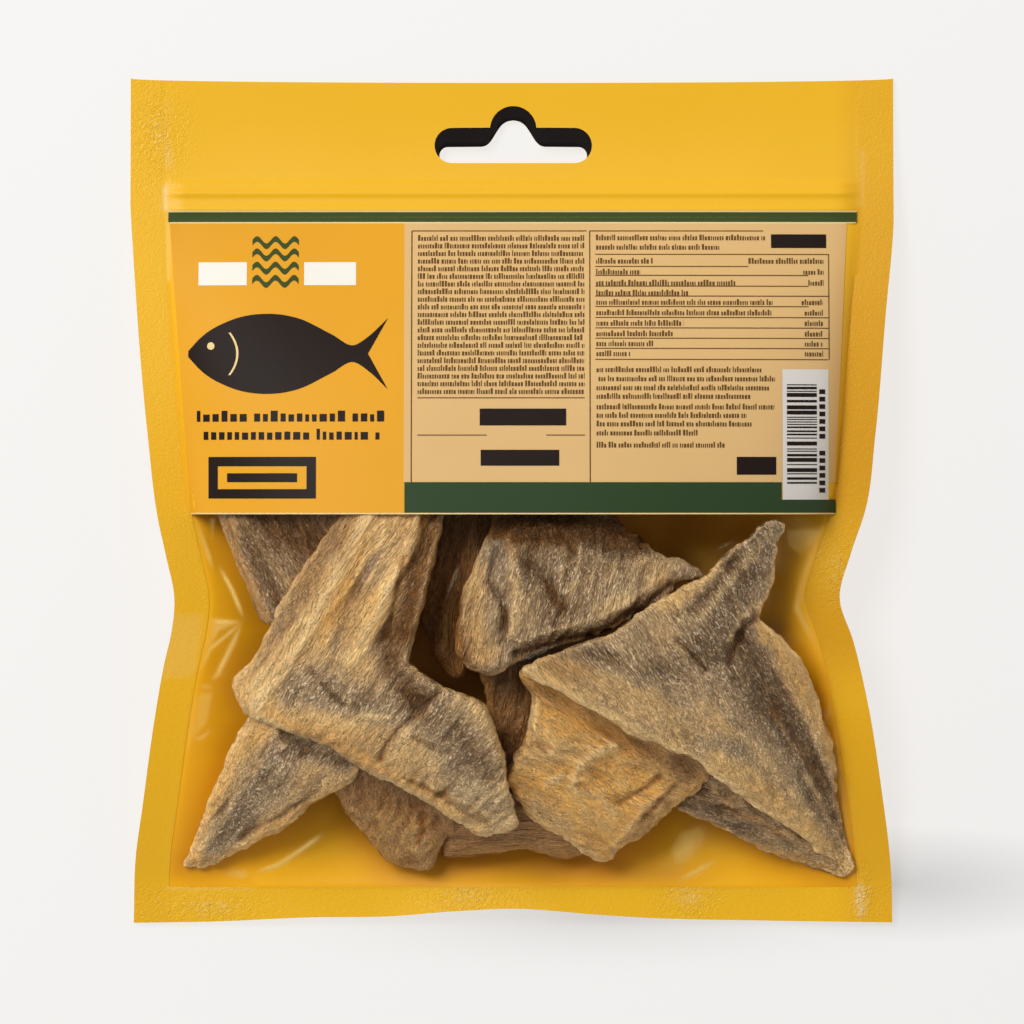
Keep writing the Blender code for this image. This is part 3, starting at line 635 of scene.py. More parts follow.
def block_of(outline, thick):
    """The outline raised to a block and remeshed to even small faces."""
    bm = bmesh.new()
    corners = [bm.verts.new((point.x, point.y, 0)) for point in outline]
    bm.faces.new(corners)
    raised = bmesh.ops.extrude_face_region(bm, geom=bm.faces[:])["geom"]
    for item in raised:
        if isinstance(item, bmesh.types.BMVert):
            item.co.z = thick
    bmesh.ops.recalc_face_normals(bm, faces=bm.faces[:])
    block = bpy.data.objects.new("block", bpy.data.meshes.new("block"))
    bm.to_mesh(block.data)
    bpy.context.scene.collection.objects.link(block)
    remesh = block.modifiers.new("remesh", "REMESH")
    remesh.mode = "VOXEL"
    remesh.voxel_size = VOXEL
    graph = bpy.context.evaluated_depsgraph_get()
    bm.clear()
    bm.from_mesh(block.evaluated_get(graph).to_mesh())
    bpy.data.objects.remove(block)
    return bm


def steak_top(steak, x, y, deep):
    """The steak's upper face before its fibres, rounded off at the rim and kept under the film."""
    ceiling = edge_height(x, y) + FILM / 2 + swell(x, y) - FILM_GAP
    rounding = 1 - np.sqrt(1 - (1 - np.minimum(deep / steak.rim_width, 1)) ** 2)
    depth = (1 - steak.share) * swell(x, y) + steak.rim_drop * rounding
    for mark in steak.marks:
        depth = depth - MARK_LIFT * mark.rise * sharpness(x, y, mark.route, mark.width)
    return ceiling - np.logaddexp(0, 2 * depth) / 2


def turned(x, y, angle):
    """Places along and across fibres that run at this angle."""
    turn = math.radians(angle)
    return x * math.cos(turn) + y * math.sin(turn), -x * math.sin(turn) + y * math.cos(turn)


def along_fibres(x, y, z, angle, long, short, layer):
    """Noise drawn out along the fibres, from -1 to 1."""
    s, t = turned(x, y, angle)
    return np.array([noise.noise(Vector((a, b, c)))
                     for a, b, c in zip(s / long, t / short, z / short + layer)])


GOLD = (0.86, 0.435, 0.095, 1)
HONEY = (0.71, 0.405, 0.140, 1)
TAWNY = (0.43, 0.280, 0.152, 1)
GREY_BROWN = (0.19, 0.115, 0.062, 1)
SINEW_AND_HIGHLIGHT = (0.94, 0.66, 0.32, 1)
PAINTED_SHADE_TINT = (0.40, 0.25, 0.12, 1)
DULL_SPECK, BRIGHT_SPECK = (0.90, 0.87, 0.82, 1), (1.16, 1.20, 1.24, 1)
GLINT_TINT = (1.0, 0.90, 0.74, 1)
SHEEN = (1.0, 0.84, 0.60, 1)
# Fine threads and, crossing them, short hairs: the turn from the fibres, and how close they lie
# lengthwise and across.
THREADS = ((-0.12, 0.2, 1.5), (0.3, 0.32, 1.9))
HAIRS = ((-0.35, 1.6, 5.0), (0.3, 1.6, 5.0))


def laid(tree, fibre, turn, lengthwise, crosswise):
    """Places drawn out along the fibres, or at a small turn from them."""
    return add_node(tree, "Mapping", Vector=fibre, Rotation=(0, 0, turn),
                    Scale=(lengthwise, crosswise, crosswise)).outputs[0]


def beside_line(tree, clouds):
    """How far a noise is from its middle value, which draws a fine branching line at 0."""
    return worked_out(tree, "ABSOLUTE", worked_out(tree, "SUBTRACT", clouds, 0.5))


def hair(tree, places):
    """Short cells, of which most are faint and few are strong."""
    cells = add_node(tree, "TexVoronoi", Vector=places, Scale=1.0)
    chance = add_node(tree, "SeparateColor", Color=cells.outputs["Color"])
    return worked_out(tree, "POWER", chance.outputs["Red"], 3.5)


def flesh_colour(tree, tone):
    """Gold where the tone is 0, through honey and tawny to grey brown where it is 1."""
    flesh = add_node(tree, "ValToRGB", Fac=tone)
    stops = flesh.color_ramp.elements
    stops[0].color, stops[1].color = GOLD, GREY_BROWN
    for position, colour in ((0.28, HONEY), (0.6, TAWNY)):
        stops.new(position).color = colour
    return flesh.outputs[0]


def dried_fish():
    """Dried flesh in its painted tone, pale sinews, fine threads, short hairs, painted shade and glints."""
    material, tree, shader, _ = new_material("dried_fish")
    shade = painted(tree, "shade")
    fibre = add_node(tree, "Attribute", {"attribute_name": "fibre"}).outputs["Vector"]
    streak = mottling(tree, laid(tree, fibre, 0, 0.09, 0.8), 1.0, 2.5, 0.4)
    shift = stretched(tree, streak, 0.3, 0.7, -0.05, 0.05)
    tone = worked_out(tree, "ADD", painted(tree, "tone"), shift, clamp=True)
    sinew = beside_line(tree, mottling(tree, laid(tree, fibre, 0, 0.13, 1.1), 1.0, 2.0, 0.6))
    line = stretched(tree, sinew, 0.0, 0.05, 0.48, 0.0)
    # Paleness is the pale sinew lines and the painted highlights on the crests; the shade is painted shade.
    paleness = worked_out(tree, "ADD", painted(tree, "crest"), line, clamp=True)
    colour = blended(tree, paleness, flesh_colour(tree, tone), SINEW_AND_HIGHLIGHT)
    colour = blended(tree, shade, colour, PAINTED_SHADE_TINT, "MULTIPLY")

    threads = [beside_line(tree, mottling(tree, laid(tree, fibre, *thread), 1.0, 1.0, 0.5))
               for thread in THREADS]
    sharp = stretched(tree, worked_out(tree, "MINIMUM", *threads), 0.012, 0.065, 1.0, 0.0)
    specks = blended(tree, sharp, DULL_SPECK, BRIGHT_SPECK)
    swing = stretched(tree, tone, 0.05, 0.6, 0.6, 0.9)
    colour = blended(tree, swing, colour, specks, "MULTIPLY")

    hairs = worked_out(tree, "MAXIMUM", *(hair(tree, laid(tree, fibre, *cell)) for cell in HAIRS))
    grit = stretched(tree, tone, 0.1, 0.7, 0.22, 0.95)
    colour = blended(tree, grit, colour, stretched(tree, hairs, 0.0, 1.0, 0.62, 1.6), "MULTIPLY")
    # Painted glints on the grey flesh, left out where painted shade lies.
    grey = stretched(tree, tone, 0.35, 0.8, 0.0, 1.0)
    lit = worked_out(tree, "SUBTRACT", grey, shade, clamp=True)
    painted_glint = worked_out(tree, "MULTIPLY", stretched(tree, hairs, 0.72, 1.0, 0.0, 0.55), lit)
    colour = blended(tree, painted_glint, colour, GLINT_TINT)

    bumps = relief(tree, streak, 0.8, 0.0014)
    bumps = relief(tree, line, 0.8, 0.0006, bumps)
    set_finish(tree, shader, colour, 0.36, 0.5, relief(tree, sharp, 0.8, 0.00012, bumps))
    shader.inputs["Specular Tint"].default_value = SHEEN
    return material


DRIED_FISH = dried_fish()


def paint(mesh, name, values):
    """Paints a finished piece with a value at each point."""
    mesh.attributes.new(name, "FLOAT", "POINT").data.foreach_set("value", np.asarray(values, np.float32))


def paint_steak(mesh, steak, x, y, up, deep, ropes, strands, seed):
    """Paints its grey tone, painted crest highlights and painted shade, from fibres, marks and torn edge.
    """
    cloud = CLOUD_GREY * wobble(x, y, CLOUD_LENGTH, seed + 1)
    tone = steak.tone + cloud + ROPE_GREY * ropes + STRAND_GREY * strands
    crest = np.clip(ROPE_PALE * ropes + STRAND_PALE * strands - LEAST_PALE, 0, MOST_PALE)
    trough_shade = np.clip(ROPE_SHADE * ropes + STRAND_SHADE * strands, 0, MOST_SHADE)
    # Painted shade, from the steak's own, the troughs and the lower sides, then the grooves and marks.
    shade = steak.shade + trough_shade + UNDERSIDE_SHADE * np.sqrt(1 - up)
    for mark in steak.marks:
        near = nearness(x, y, mark.route, mark.width)
        groove = GROOVE_SHADE * min(max(-mark.rise, 0), DEEPEST_GROOVE)
        tone = tone + mark.grey * near
        crest = crest + max(mark.pale, 0) * near
        shade = shade + (max(-mark.pale, 0) + groove) * near
    edge = np.exp(-(deep / EDGE_WIDTH) ** 2) * (up > EDGE_LOW)
    spread = TONE_SPREAD * np.clip(tone - MIDDLE_TONE, LEAST_TONE, 1)
    paint(mesh, "tone", np.clip(tone + spread + EDGE_GREY * edge, LEAST_TONE, 1))
    paint(mesh, "crest", np.clip(crest + EDGE_PALE * edge, 0, PALEST))
    paint(mesh, "shade", np.clip(shade, 0, 1))


def steak_piece(steak, outline, seed):
    """One steak, from its block: its heights first, then its ropes of flesh, then its paint."""
    bm = block_of(outline, steak.thick)
    x, y, z = places_of(bm)
    up = np.clip(z / steak.thick, 0, 1)
    deep = outline_distance(x, y, outline)
    rim = 1 - np.minimum(deep / steak.rim_width, 1)
    top = steak_top(steak, x, y, deep)
    under = top - steak.wall - (steak.thick - steak.wall) * (1 - rim ** 2)
    under = np.maximum(under, back_z(x, y) + BACK_GAP)
    z = under + up * (np.maximum(top, under + LEAST_THICK) - under)
    move_to(bm, x, y, z)
    bm.normal_update()
    normal = np.array([vert.normal for vert in bm.verts]).T
    bent_x = x + BEND * wobble(x, y, BEND_LENGTH, seed)
    bent_y = y + BEND * wobble(x, y, BEND_LENGTH, seed + 4)
    bent = bent_x, bent_y, z, steak.fibre
    ropes = np.abs(along_fibres(*bent, ROPE_LENGTH, ROPE_WIDTH, seed))
    ropes = ROPE_CREST - ROPE_SLOPE * ropes
    strands = np.abs(along_fibres(*bent, STRAND_LENGTH, STRAND_WIDTH, seed + 5))
    strands = STRAND_CREST - STRAND_SLOPE * strands
    lumps = wobble(x, y, LUMP_LENGTH, seed + 3)
    push = ROPE_RISE * ropes + STRAND_RISE * strands + LUMP_RISE * lumps
    move_to(bm, *(np.array([x, y, z]) + push * normal))
    piece = finished_piece(steak.name, bm, DRIED_FISH)
    paint_steak(piece.data, steak, x, y, up, deep, ropes, strands, seed)
    places = np.stack([*turned(bent_x, bent_y, steak.fibre), z], axis=1).astype(np.float32)
    fibre = piece.data.attributes.new("fibre", "FLOAT_VECTOR", "POINT")
    fibre.data.foreach_set("vector", places.ravel())
    return piece


STEAKS = [steak._replace(marks=[Mark(*mark) for mark in steak.marks]) for steak in STEAKS]
steak_outlines = []
for number, steak in enumerate(STEAKS):
    steak_outlines.append(torn_outline(steak, SEED_STEP * number))
    piece = steak_piece(steak, steak_outlines[-1], SEED_STEP * number)
    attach(piece, "root")
    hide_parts("pouch")

# The back film's painted shade: deeper close round the steaks and along its foot, where they
# shade it, and painted lighter in two places, as if more light reached them.
STEAK_SHADE_WIDTH, STEAK_SHADE = 4.2, 0.7
FOOT_SHADE = ((((-12, -73.5), (33, -75.6)), 3.2, 0.4),)
PAINTED_LIGHT_PLACES = ((((26, -4), (38, -9)), 6, 0.5), (((60, -8), (63, -22)), 5, 0.3))
x, y = np.array([vert.co for vert in back_film.data.vertices], float).T[:2] / MM
beside = np.full(len(x), np.inf)
for outline in steak_outlines:
    beside = np.minimum(beside, route_distance(x, y, outline + outline[:1]))
painted_shade = STEAK_SHADE * np.exp(-(beside / STEAK_SHADE_WIDTH) ** 2) + strokes(x, y, FOOT_SHADE)
paint(back_film.data, "shade", np.clip(painted_shade - strokes(x, y, PAINTED_LIGHT_PLACES), 0, 1))

# ---------------------------------------------------------------------------------------------
# Front film. The printed front sheet: the header with its hang slot, the press-to-close band,
# the field behind the printed panel, and the sealed margins round the window, which is left
# open here. The slot is punched through it.
# ---------------------------------------------------------------------------------------------
FRONT_COLUMNS, FRONT_ROWS = 180, 200
SHEET_THICKNESS = 0.08
ZIP_RISE = 0.55
ZIP_BEADS = ((62.3, 0.5), (58.8, 0.4))
ZIP_BEAD_WIDTH = 0.8
ZIP_FADE = 22
SLOT_MIDDLE = 0.25
SLOT_HALF_WIDTH, SLOT_END_RADIUS, SLOT_Y = 15.95, 3.58, 72.0
BELL_Y, BELL_RADIUS, BELL_START, BELL_END = 75.3, 4.7, 4, 88
ARC_STEPS = 24
CUTTER_LOW, CUTTER_HIGH = -5, 15
SHARP_ANGLE = 40
SIDE_EMBOSS, BOTTOM_EMBOSS = 0.25, 0.3
# How much deeper the colour is where a side margin turns away from the light, as (Y, depth).
RIGHT_SHADE = ((-85, 0.2), (-60, 0.35), (-45, 0.25), (-40, 0.2), (-28, 0.55), (-20, 0.5), (-14, 0.3),
               (-6, 0.4), (0, 0.55), (20, 0.62), (42, 0.55), (57, 0.42), (70, 0.28), (85, 0.2))
LEFT_SHADE = ((-85, 0.12), (-40, 0.16), (-14, 0.18), (5, 0.1), (40, 0), (85, 0))
# How far in from the seal each shade starts, and over what width it grows.
RIGHT_START, RIGHT_EASE = 6, 7
LEFT_START, LEFT_EASE = 1, 3
# Painted highlights along the seals: the points that each passes, its width and how pale it is.
PAINTED_GLEAMS = (
    (((70.2, -78.3), (70.7, -83.5)), 0.7, 0.5),
    (((-69.5, -78.5), (-52.5, -78.6)), 0.35, 0.3),
    (((32.5, -78.5), (40.5, -78.6)), 0.35, 0.2),
    (((-70.3, 63.5), (-70.4, 59.2)), 0.5, 0.55),
    (((-69.8, 71.8), (-69.6, 68.1)), 0.6, 0.3),
    (((70.9, 71.0), (70.7, 59.8)), 0.4, 0.22),
    (((-70.0, 81.1), (-70.0, 73.0)), 0.4, 0.14),
)
# The corners of a painted reflection, a pale patch on the left seal, how softly it ends and how
# pale it is.
HIGHLIGHT_PATCH = ((-74.7, -22.0), (-61.9, -22.6), (-63.2, -34.1), (-65.2, -36.5), (-73.3, -36.1))
HIGHLIGHT_PATCH_RIM, HIGHLIGHT_PATCH_STRENGTH = 1.2, 0.13
# Where the seals' emboss is stronger and takes painted glints: (X, Y, half width, half height).
GLINTS = ((-61, -82.3, 10, 3.5), (-9, -79.5, 9, 5), (36, -80.5, 6, 4), (66, -14, 4, 7), (-71, 74, 6, 9),
          (71, -80, 2, 7))


def band_height(x, y):
    """The press-to-close band: a low plateau between the side seals with two beads on it."""
    inner = seam_distance(x, y)
    inside = np.clip(np.minimum(y - ZIP_LOW_Y + 1, (ZIP_HIGH_Y - y) / ZIP_EDGE + 1), 0, 2) / 2
    height = ZIP_RISE * inside ** 2 * (3 - 2 * inside)
    for bead_y, size in ZIP_BEADS:
        height = height + size * np.exp(-((y - bead_y) / ZIP_BEAD_WIDTH) ** 2)
    return height * np.clip(inner * ZIP_FADE, 0, 1)


def face_z(x, y):
    """The outside of the front sheet."""
    return edge_height(x, y) + FILM / 2 + swell(x, y) + band_height(x, y)


def side_shade(x, y):
    """How far the colour deepens where the side margins turn away from the light."""
    left, right = side_edges(y)
    on_right = np.clip((x - right + SEAL + RIGHT_START) / RIGHT_EASE, 0, 1)
    on_left = np.clip((left + SEAL + LEFT_START - x) / LEFT_EASE, 0, 1)
    return along(RIGHT_SHADE, y) * on_right ** 2 * (3 - 2 * on_right) + along(LEFT_SHADE, y) * on_left


def patch_share(x, y, corners, rim):
    """1 inside the patch with these corners, fading over its rim to 0 outside it."""
    return np.clip(outline_distance(x, y, [Vector(corner) for corner in corners]) / rim, 0, 1)


def arc(x, y, radius, start, end):
    """Points along an arc round x, y, from one angle to the other."""
    angles = np.radians(np.linspace(start, end, ARC_STEPS + 1))
    return list(zip(x + radius * np.cos(angles), y + radius * np.sin(angles)))


def slot_outline(half_width, radius, middle_y, bell):
    """Anticlockwise from the right arm's end, over the bell, to the left arm's end."""
    right = arc(half_width - radius, middle_y, radius, -90, 90) + bell
    left = [(-x, y) for x, y in reversed(right)]
    return [(x + SLOT_MIDDLE, y) for x, y in right + left]


def punch(piece, outline):
    """Cuts the slot right through a piece."""
    bm = bmesh.new()
    bmesh.ops.create_circle(bm, cap_ends=True, segments=len(outline), radius=1)
    for vert, (a, b) in zip(bm.verts, outline):
        vert.co = (a * MM, b * MM, CUTTER_LOW * MM)
    for item in bmesh.ops.extrude_face_region(bm, geom=bm.faces[:])["geom"]:
        if isinstance(item, bmesh.types.BMVert):
            item.co.z = CUTTER_HIGH * MM
    bmesh.ops.recalc_face_normals(bm, faces=bm.faces[:])
    cutter = bpy.data.objects.new("cutter", bpy.data.meshes.new("cutter"))
    bm.to_mesh(cutter.data)
    bm.free()
    bpy.context.scene.collection.objects.link(cutter)
    cut = piece.modifiers.new("punch", "BOOLEAN")
    cut.operation = "DIFFERENCE"
    cut.solver = "EXACT"
    cut.object = cutter
    graph = bpy.context.evaluated_depsgraph_get()
    mesh = bpy.data.meshes.new_from_object(piece.evaluated_get(graph))
    piece.modifiers.clear()
    piece.data = mesh
    bpy.data.objects.remove(cutter)


def thicken(piece, thickness):
    """Gives a sheet its thickness, inwards from its outer face."""
    wall = piece.modifiers.new("thickness", "SOLIDIFY")
    wall.thickness = thickness * MM
    wall.offset = -1


bm, x, y = sheet(FRONT_COLUMNS, FRONT_ROWS)
move_to(bm, x, y, face_z(x, y))
sealed = np.where(seam_distance(x, y) <= 0, SIDE_EMBOSS, 0) + np.where(y < SEAL_TOP_Y, BOTTOM_EMBOSS, 0)
# The glint places strengthen the emboss and the painted glints laid on it.
for glint_x, glint_y, half_width, half_height in GLINTS:
    sealed = sealed + np.exp(-((x - glint_x) / half_width) ** 2 - ((y - glint_y) / half_height) ** 2)
# Painted highlights: the pale patch and the gleams along the seals.
painted_highlight = HIGHLIGHT_PATCH_STRENGTH * patch_share(x, y, HIGHLIGHT_PATCH, HIGHLIGHT_PATCH_RIM) + strokes(x, y, PAINTED_GLEAMS)
for name, values in (("sealed", sealed), ("shade", side_shade(x, y)), ("painted_highlight", painted_highlight)):
    layer = bm.verts.layers.float.new(name)
    for vert, value in zip(bm.verts, values):
        vert[layer] = value
open_faces = []
for face in bm.faces:
    centre = face.calc_center_median()
    if SEAL_TOP_Y < centre.y < WINDOW_TOP_Y and seam_distance(centre.x, centre.y) > 0:
        open_faces.append(face)
bmesh.ops.delete(bm, geom=open_faces, context="FACES")
outside_yellow = yellow_film("yellow_film", (0.86, 0.475, 0.012, 1), (0.84, 0.455, 0.010, 1))
front_film = finished_piece("front_film", bm, outside_yellow)
thicken(front_film, SHEET_THICKNESS)
bell = arc(0, BELL_Y, BELL_RADIUS, BELL_START, BELL_END)
punch(front_film, slot_outline(SLOT_HALF_WIDTH, SLOT_END_RADIUS, SLOT_Y, bell))
front_film.data.set_sharp_from_angle(angle=math.radians(SHARP_ANGLE))
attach(front_film, "root")
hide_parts("pouch")

# ---------------------------------------------------------------------------------------------
# Slot shadow strip. A near-black strip behind the header, punched with a smaller and lower slot,
# so that a painted shadow shows along the upper edge of the front sheet's slot.
# ---------------------------------------------------------------------------------------------
SHADOW_STRIP_HALF_WIDTH, SHADOW_STRIP_LOW_Y, SHADOW_STRIP_HIGH_Y = 18.0, 66.5, 81.5
SHADOW_STRIP_COLUMNS, SHADOW_STRIP_ROWS = 24, 12
SHADOW_STRIP_THICKNESS, SHADOW_STRIP_GAP = 0.1, 0.03
REAR_HALF_WIDTH, REAR_END_RADIUS, REAR_Y = 14.95, 1.75, 69.92
REAR_BELL = ((0, 77.1), (1.45, 76.75), (2.5, 75.95), (3.56, 74.4), (4.5, 72.9), (5.3, 72.1), (6.5, 71.7))
REAR_BELL_STEPS = np.linspace(6.4, 0.1, 20)


def dark_lining():
    """Near-black film, quite matt, standing for the shadow in the slot."""
    material, tree, shader, place = new_material("dark_lining")
    grain = mottling(tree, place, 1500.0, 2.0)
    colour = blended(tree, grain, (0.006, 0.004, 0.004, 1), (0.010, 0.007, 0.007, 1))
    set_finish(tree, shader, colour, 0.6, 0.08)
    return material


bm = bmesh.new()
bmesh.ops.create_grid(bm, x_segments=SHADOW_STRIP_COLUMNS, y_segments=SHADOW_STRIP_ROWS, size=1)
u, v, _ = places_of(bm)
x = u * SHADOW_STRIP_HALF_WIDTH
y = (SHADOW_STRIP_LOW_Y + SHADOW_STRIP_HIGH_Y) / 2 + v * (SHADOW_STRIP_HIGH_Y - SHADOW_STRIP_LOW_Y) / 2
move_to(bm, x, y, edge_height(x, y) + FILM / 2 - SHEET_THICKNESS - SHADOW_STRIP_GAP)
slot_shadow_strip = finished_piece("slot_shadow_strip", bm, dark_lining())
thicken(slot_shadow_strip, SHADOW_STRIP_THICKNESS)
bell = [(x, float(along(REAR_BELL, x))) for x in REAR_BELL_STEPS]
REAR_SLOT = slot_outline(REAR_HALF_WIDTH, REAR_END_RADIUS, REAR_Y, bell)
punch(slot_shadow_strip, REAR_SLOT)
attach(slot_shadow_strip, "root")
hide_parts("pouch")
punch(back_film, REAR_SLOT)

# ---------------------------------------------------------------------------------------------
# Window. Clear glossy film, sealed in under the front sheet's margins. It is drawn tight over
# the steaks and creases where it leaves the side seams.
# ---------------------------------------------------------------------------------------------
WINDOW_COLUMNS, WINDOW_ROWS = 300, 190
WINDOW_OVERLAP = 0.6
WINDOW_SHARE = 0.7
WINDOW_FADE = 8.0
WINDOW_GAP = 0.01
SEAM_EASE = 7.0
SEAM_FADE = 30
DRAPE_PASSES = 90
CREASE_HIGHLIGHT, CREASE_END, LEAST_END = 0.75, 3, 0.1
FACET_RIM = 1.0
# Creases: the points that a crease passes, its height, its width and how pale its painted highlight is.
CREASES = (
    (((-64.0, -3.5), (-60.3, -14)), 0.4, 0.45, 0.35),
    (((-59.1, -13.3), (-56.5, -18), (-54.1, -23.6)), 0.5, 0.35, 0.75),
    (((-54.3, -24.5), (-61.5, -24.3)), 0.3, 0.4, 0.35),
    (((-54.3, -24.5), (-61, -30), (-63.5, -35.5)), 0.5, 0.4, 0.4),
    (((-54.3, -24.5), (-60, -36)), 0.4, 0.4, 0.35),
    (((-64, -37.4), (-62, -37.6), (-60, -37.7)), 0.3, 0.4, 0.4),
    (((-60.5, -46), (-62.5, -47.8), (-65, -48.6)), 0.4, 0.5, 0.3),
    (((-64.3, -38.5), (-65.6, -52)), 0.3, 0.4, 0.3),
    (((-52, -75.5), (-47, -73.6), (-42, -70.2), (-38, -67.3)), 0.6, 0.5, 0.6),
    (((-56.6, -75.3), (-53.2, -76.3)), 0.4, 0.6, 0.35),
    (((33.5, -77), (37, -75.3), (41.5, -72.7)), 0.4, 0.5, 0.55),
    (((32.5, -74), (37.5, -67.5)), 0.4, 1.6, 0.24),
    (((69.7, -73.5), (70.2, -78)), 0.3, 0.7, 0.6),
    (((64, -4.5), (61, -11), (58.5, -18), (57.7, -21.7), (60.5, -27), (64.5, -32.3), (65.3, -40.5),
      (63.8, -44.5)), 0.6, 0.8, 0.45),
    (((65.2, -44.5), (67, -60), (69, -74.5)), 0.3, 0.4, 0.35),
    (((56.5, -5), (60, -7), (63, -9.5)), 0.5, 1.6, 0.16),
)
# Facets: how pale the painted reflection on each small flat of the film is, then its corners.
FACETS = (
    (0.24, ((-61.9, -23.0), (-58.1, -23.8), (-54.3, -24.4), (-58.9, -26.8), (-62.6, -32.7), (-63.6, -34.1),
            (-64.8, -33.9), (-64.2, -28.2))),
    (0.22, ((-56.5, -28.4), (-54.5, -25.2), (-55.1, -28.6), (-58.7, -35.9), (-61.3, -36.7))),
    (0.15, ((-64.8, -3.3), (-63.6, -3.3), (-60.7, -10.4), (-59.9, -14.7), (-61.9, -12.0))),
    (0.2, ((-61.3, -3.3), (-59.5, -3.3), (-60.5, -8.8))),
    (0.14, ((-65.6, -40.8), (-64.0, -38.4), (-59.9, -38.2), (-61.1, -44.8), (-64.0, -48.1),
            (-66.0, -49.5))),
    (0.12, ((-58.7, -74.4), (-53.0, -74.0), (-53.4, -77.0), (-57.9, -77.0))),
    (0.12, ((31.8, -70.3), (33.6, -66.7), (38.1, -65.5), (39.5, -68.3), (36.4, -72.8), (32.8, -74.4))),
    (0.13, ((55.1, -5.6), (59.3, -5.4), (63.4, -4.4), (62.1, -8.2), (58.3, -11.4), (55.3, -9.2))),
)


def crease_marks(x, y):
    """Crease lift and painted highlights on creases and facets. Each crease fades out at its ends."""
    lift, painted_highlight = np.zeros(len(x)), np.zeros(len(x))
    for route, height, width, paleness in CREASES:
        near = nearness(x, y, route, width)
        ends = np.min([np.hypot(x - end_x, y - end_y) for end_x, end_y in (route[0], route[-1])], axis=0)
        lift = lift + height * near
        painted_highlight = np.maximum(painted_highlight, CREASE_HIGHLIGHT * paleness * near * np.clip(ends / CREASE_END, LEAST_END, 1))
    for paleness, corners in FACETS:
        painted_highlight = painted_highlight + paleness * patch_share(x, y, corners, FACET_RIM)
    return lift, painted_highlight


def clear_film():
    """Clear film: most light goes through, it shines at a slant, with painted highlights on creases."""
    material, tree, shader, _ = new_material("clear_film")
    tree.nodes.remove(shader)
    slant = add_node(tree, "LayerWeight", Blend=0.5)
    steep = worked_out(tree, "POWER", slant.outputs["Facing"], 4.0)
    shine = stretched(tree, steep, 0.0, 1.0, 0.006, 0.22)
    through = add_node(tree, "BsdfTransparent")
    gloss = add_node(tree, "BsdfAnisotropic", Color=(0.9, 0.78, 0.56, 1), Roughness=0.14)
    # Painted highlight, laid along the creases and on the facets.
    pale = add_node(tree, "BsdfDiffuse", Color=(1.0, 0.76, 0.27, 1))
    film = add_node(tree, "MixShader", Fac=shine, i1=through.outputs[0], i2=gloss.outputs[0])
    surface = add_node(tree, "MixShader", Fac=painted(tree, "painted_highlight"), i1=film.outputs[0], i2=pale.outputs[0])
    tree.links.new(surface.outputs[0], tree.nodes["Material Output"].inputs["Surface"])
    return material


def draped(x, y, shape):
    """Film heights over a grid of this shape: low at the seams, and pulled up over each steak."""
    fade = np.clip((WINDOW_TOP_Y - y) / WINDOW_FADE, 0, 1)
    ease = np.clip(seam_distance(x, y) * HALF_WIDTH / SEAM_EASE, 0, 1)
    share = (1 - (1 - WINDOW_SHARE) * fade) * ease ** 2 * (3 - 2 * ease)
    height = edge_height(x, y) + FILM / 2 - SHEET_THICKNESS - WINDOW_GAP + swell(x, y) * share
    support = np.full(len(x), -1.0)
    for steak, outline in zip(STEAKS, steak_outlines):
        deep = outline_distance(x, y, outline)
        support = np.maximum(support, np.where(deep > 0, steak_top(steak, x, y, deep) + FILM_GAP, -1))
    height, support = height.reshape(shape), support.reshape(shape)
    for _ in range(DRAPE_PASSES):
        middle = (height[:-2, 1:-1] + height[2:, 1:-1] + height[1:-1, :-2] + height[1:-1, 2:]) / 4
        height[1:-1, 1:-1] = np.maximum(middle, support[1:-1, 1:-1])
    return height.ravel()


bm = bmesh.new()
bmesh.ops.create_grid(bm, x_segments=WINDOW_COLUMNS, y_segments=WINDOW_ROWS, size=1)
u, v, _ = places_of(bm)
low, high = SEAL_TOP_Y - WINDOW_OVERLAP, WINDOW_TOP_Y + WINDOW_OVERLAP
y = low + (v + 1) / 2 * (high - low)
left, right = side_edges(y)
left, right = left + SEAL - WINDOW_OVERLAP, right - SEAL + WINDOW_OVERLAP
x = left + (u + 1) / 2 * (right - left)
lift, painted_highlight = crease_marks(x, y)
inner = np.clip(seam_distance(x, y) * SEAM_FADE, 0, 1)
move_to(bm, x, y, draped(x, y, (WINDOW_ROWS + 1, WINDOW_COLUMNS + 1)) + lift * inner)
window_film = finished_piece("window_film", bm, clear_film())
paint(window_film.data, "painted_highlight", painted_highlight * inner)
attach(window_film, "root")
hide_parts("pouch")

# ---------------------------------------------------------------------------------------------
# Printed panel. Flat inks on the front sheet, from the zip to the window: a green stripe, an
# orange field, a tan field with ruled boxes, and a green band. Rows of small blocks, bars,
# waves and a plain fish are printed over them.
# ---------------------------------------------------------------------------------------------
INK_STEP = 0.05
SEAM_LIFT, SEAM_WIDTH = 0.3, 2
INK_GRID = 1.4
INK_MOTTLE = 0.05
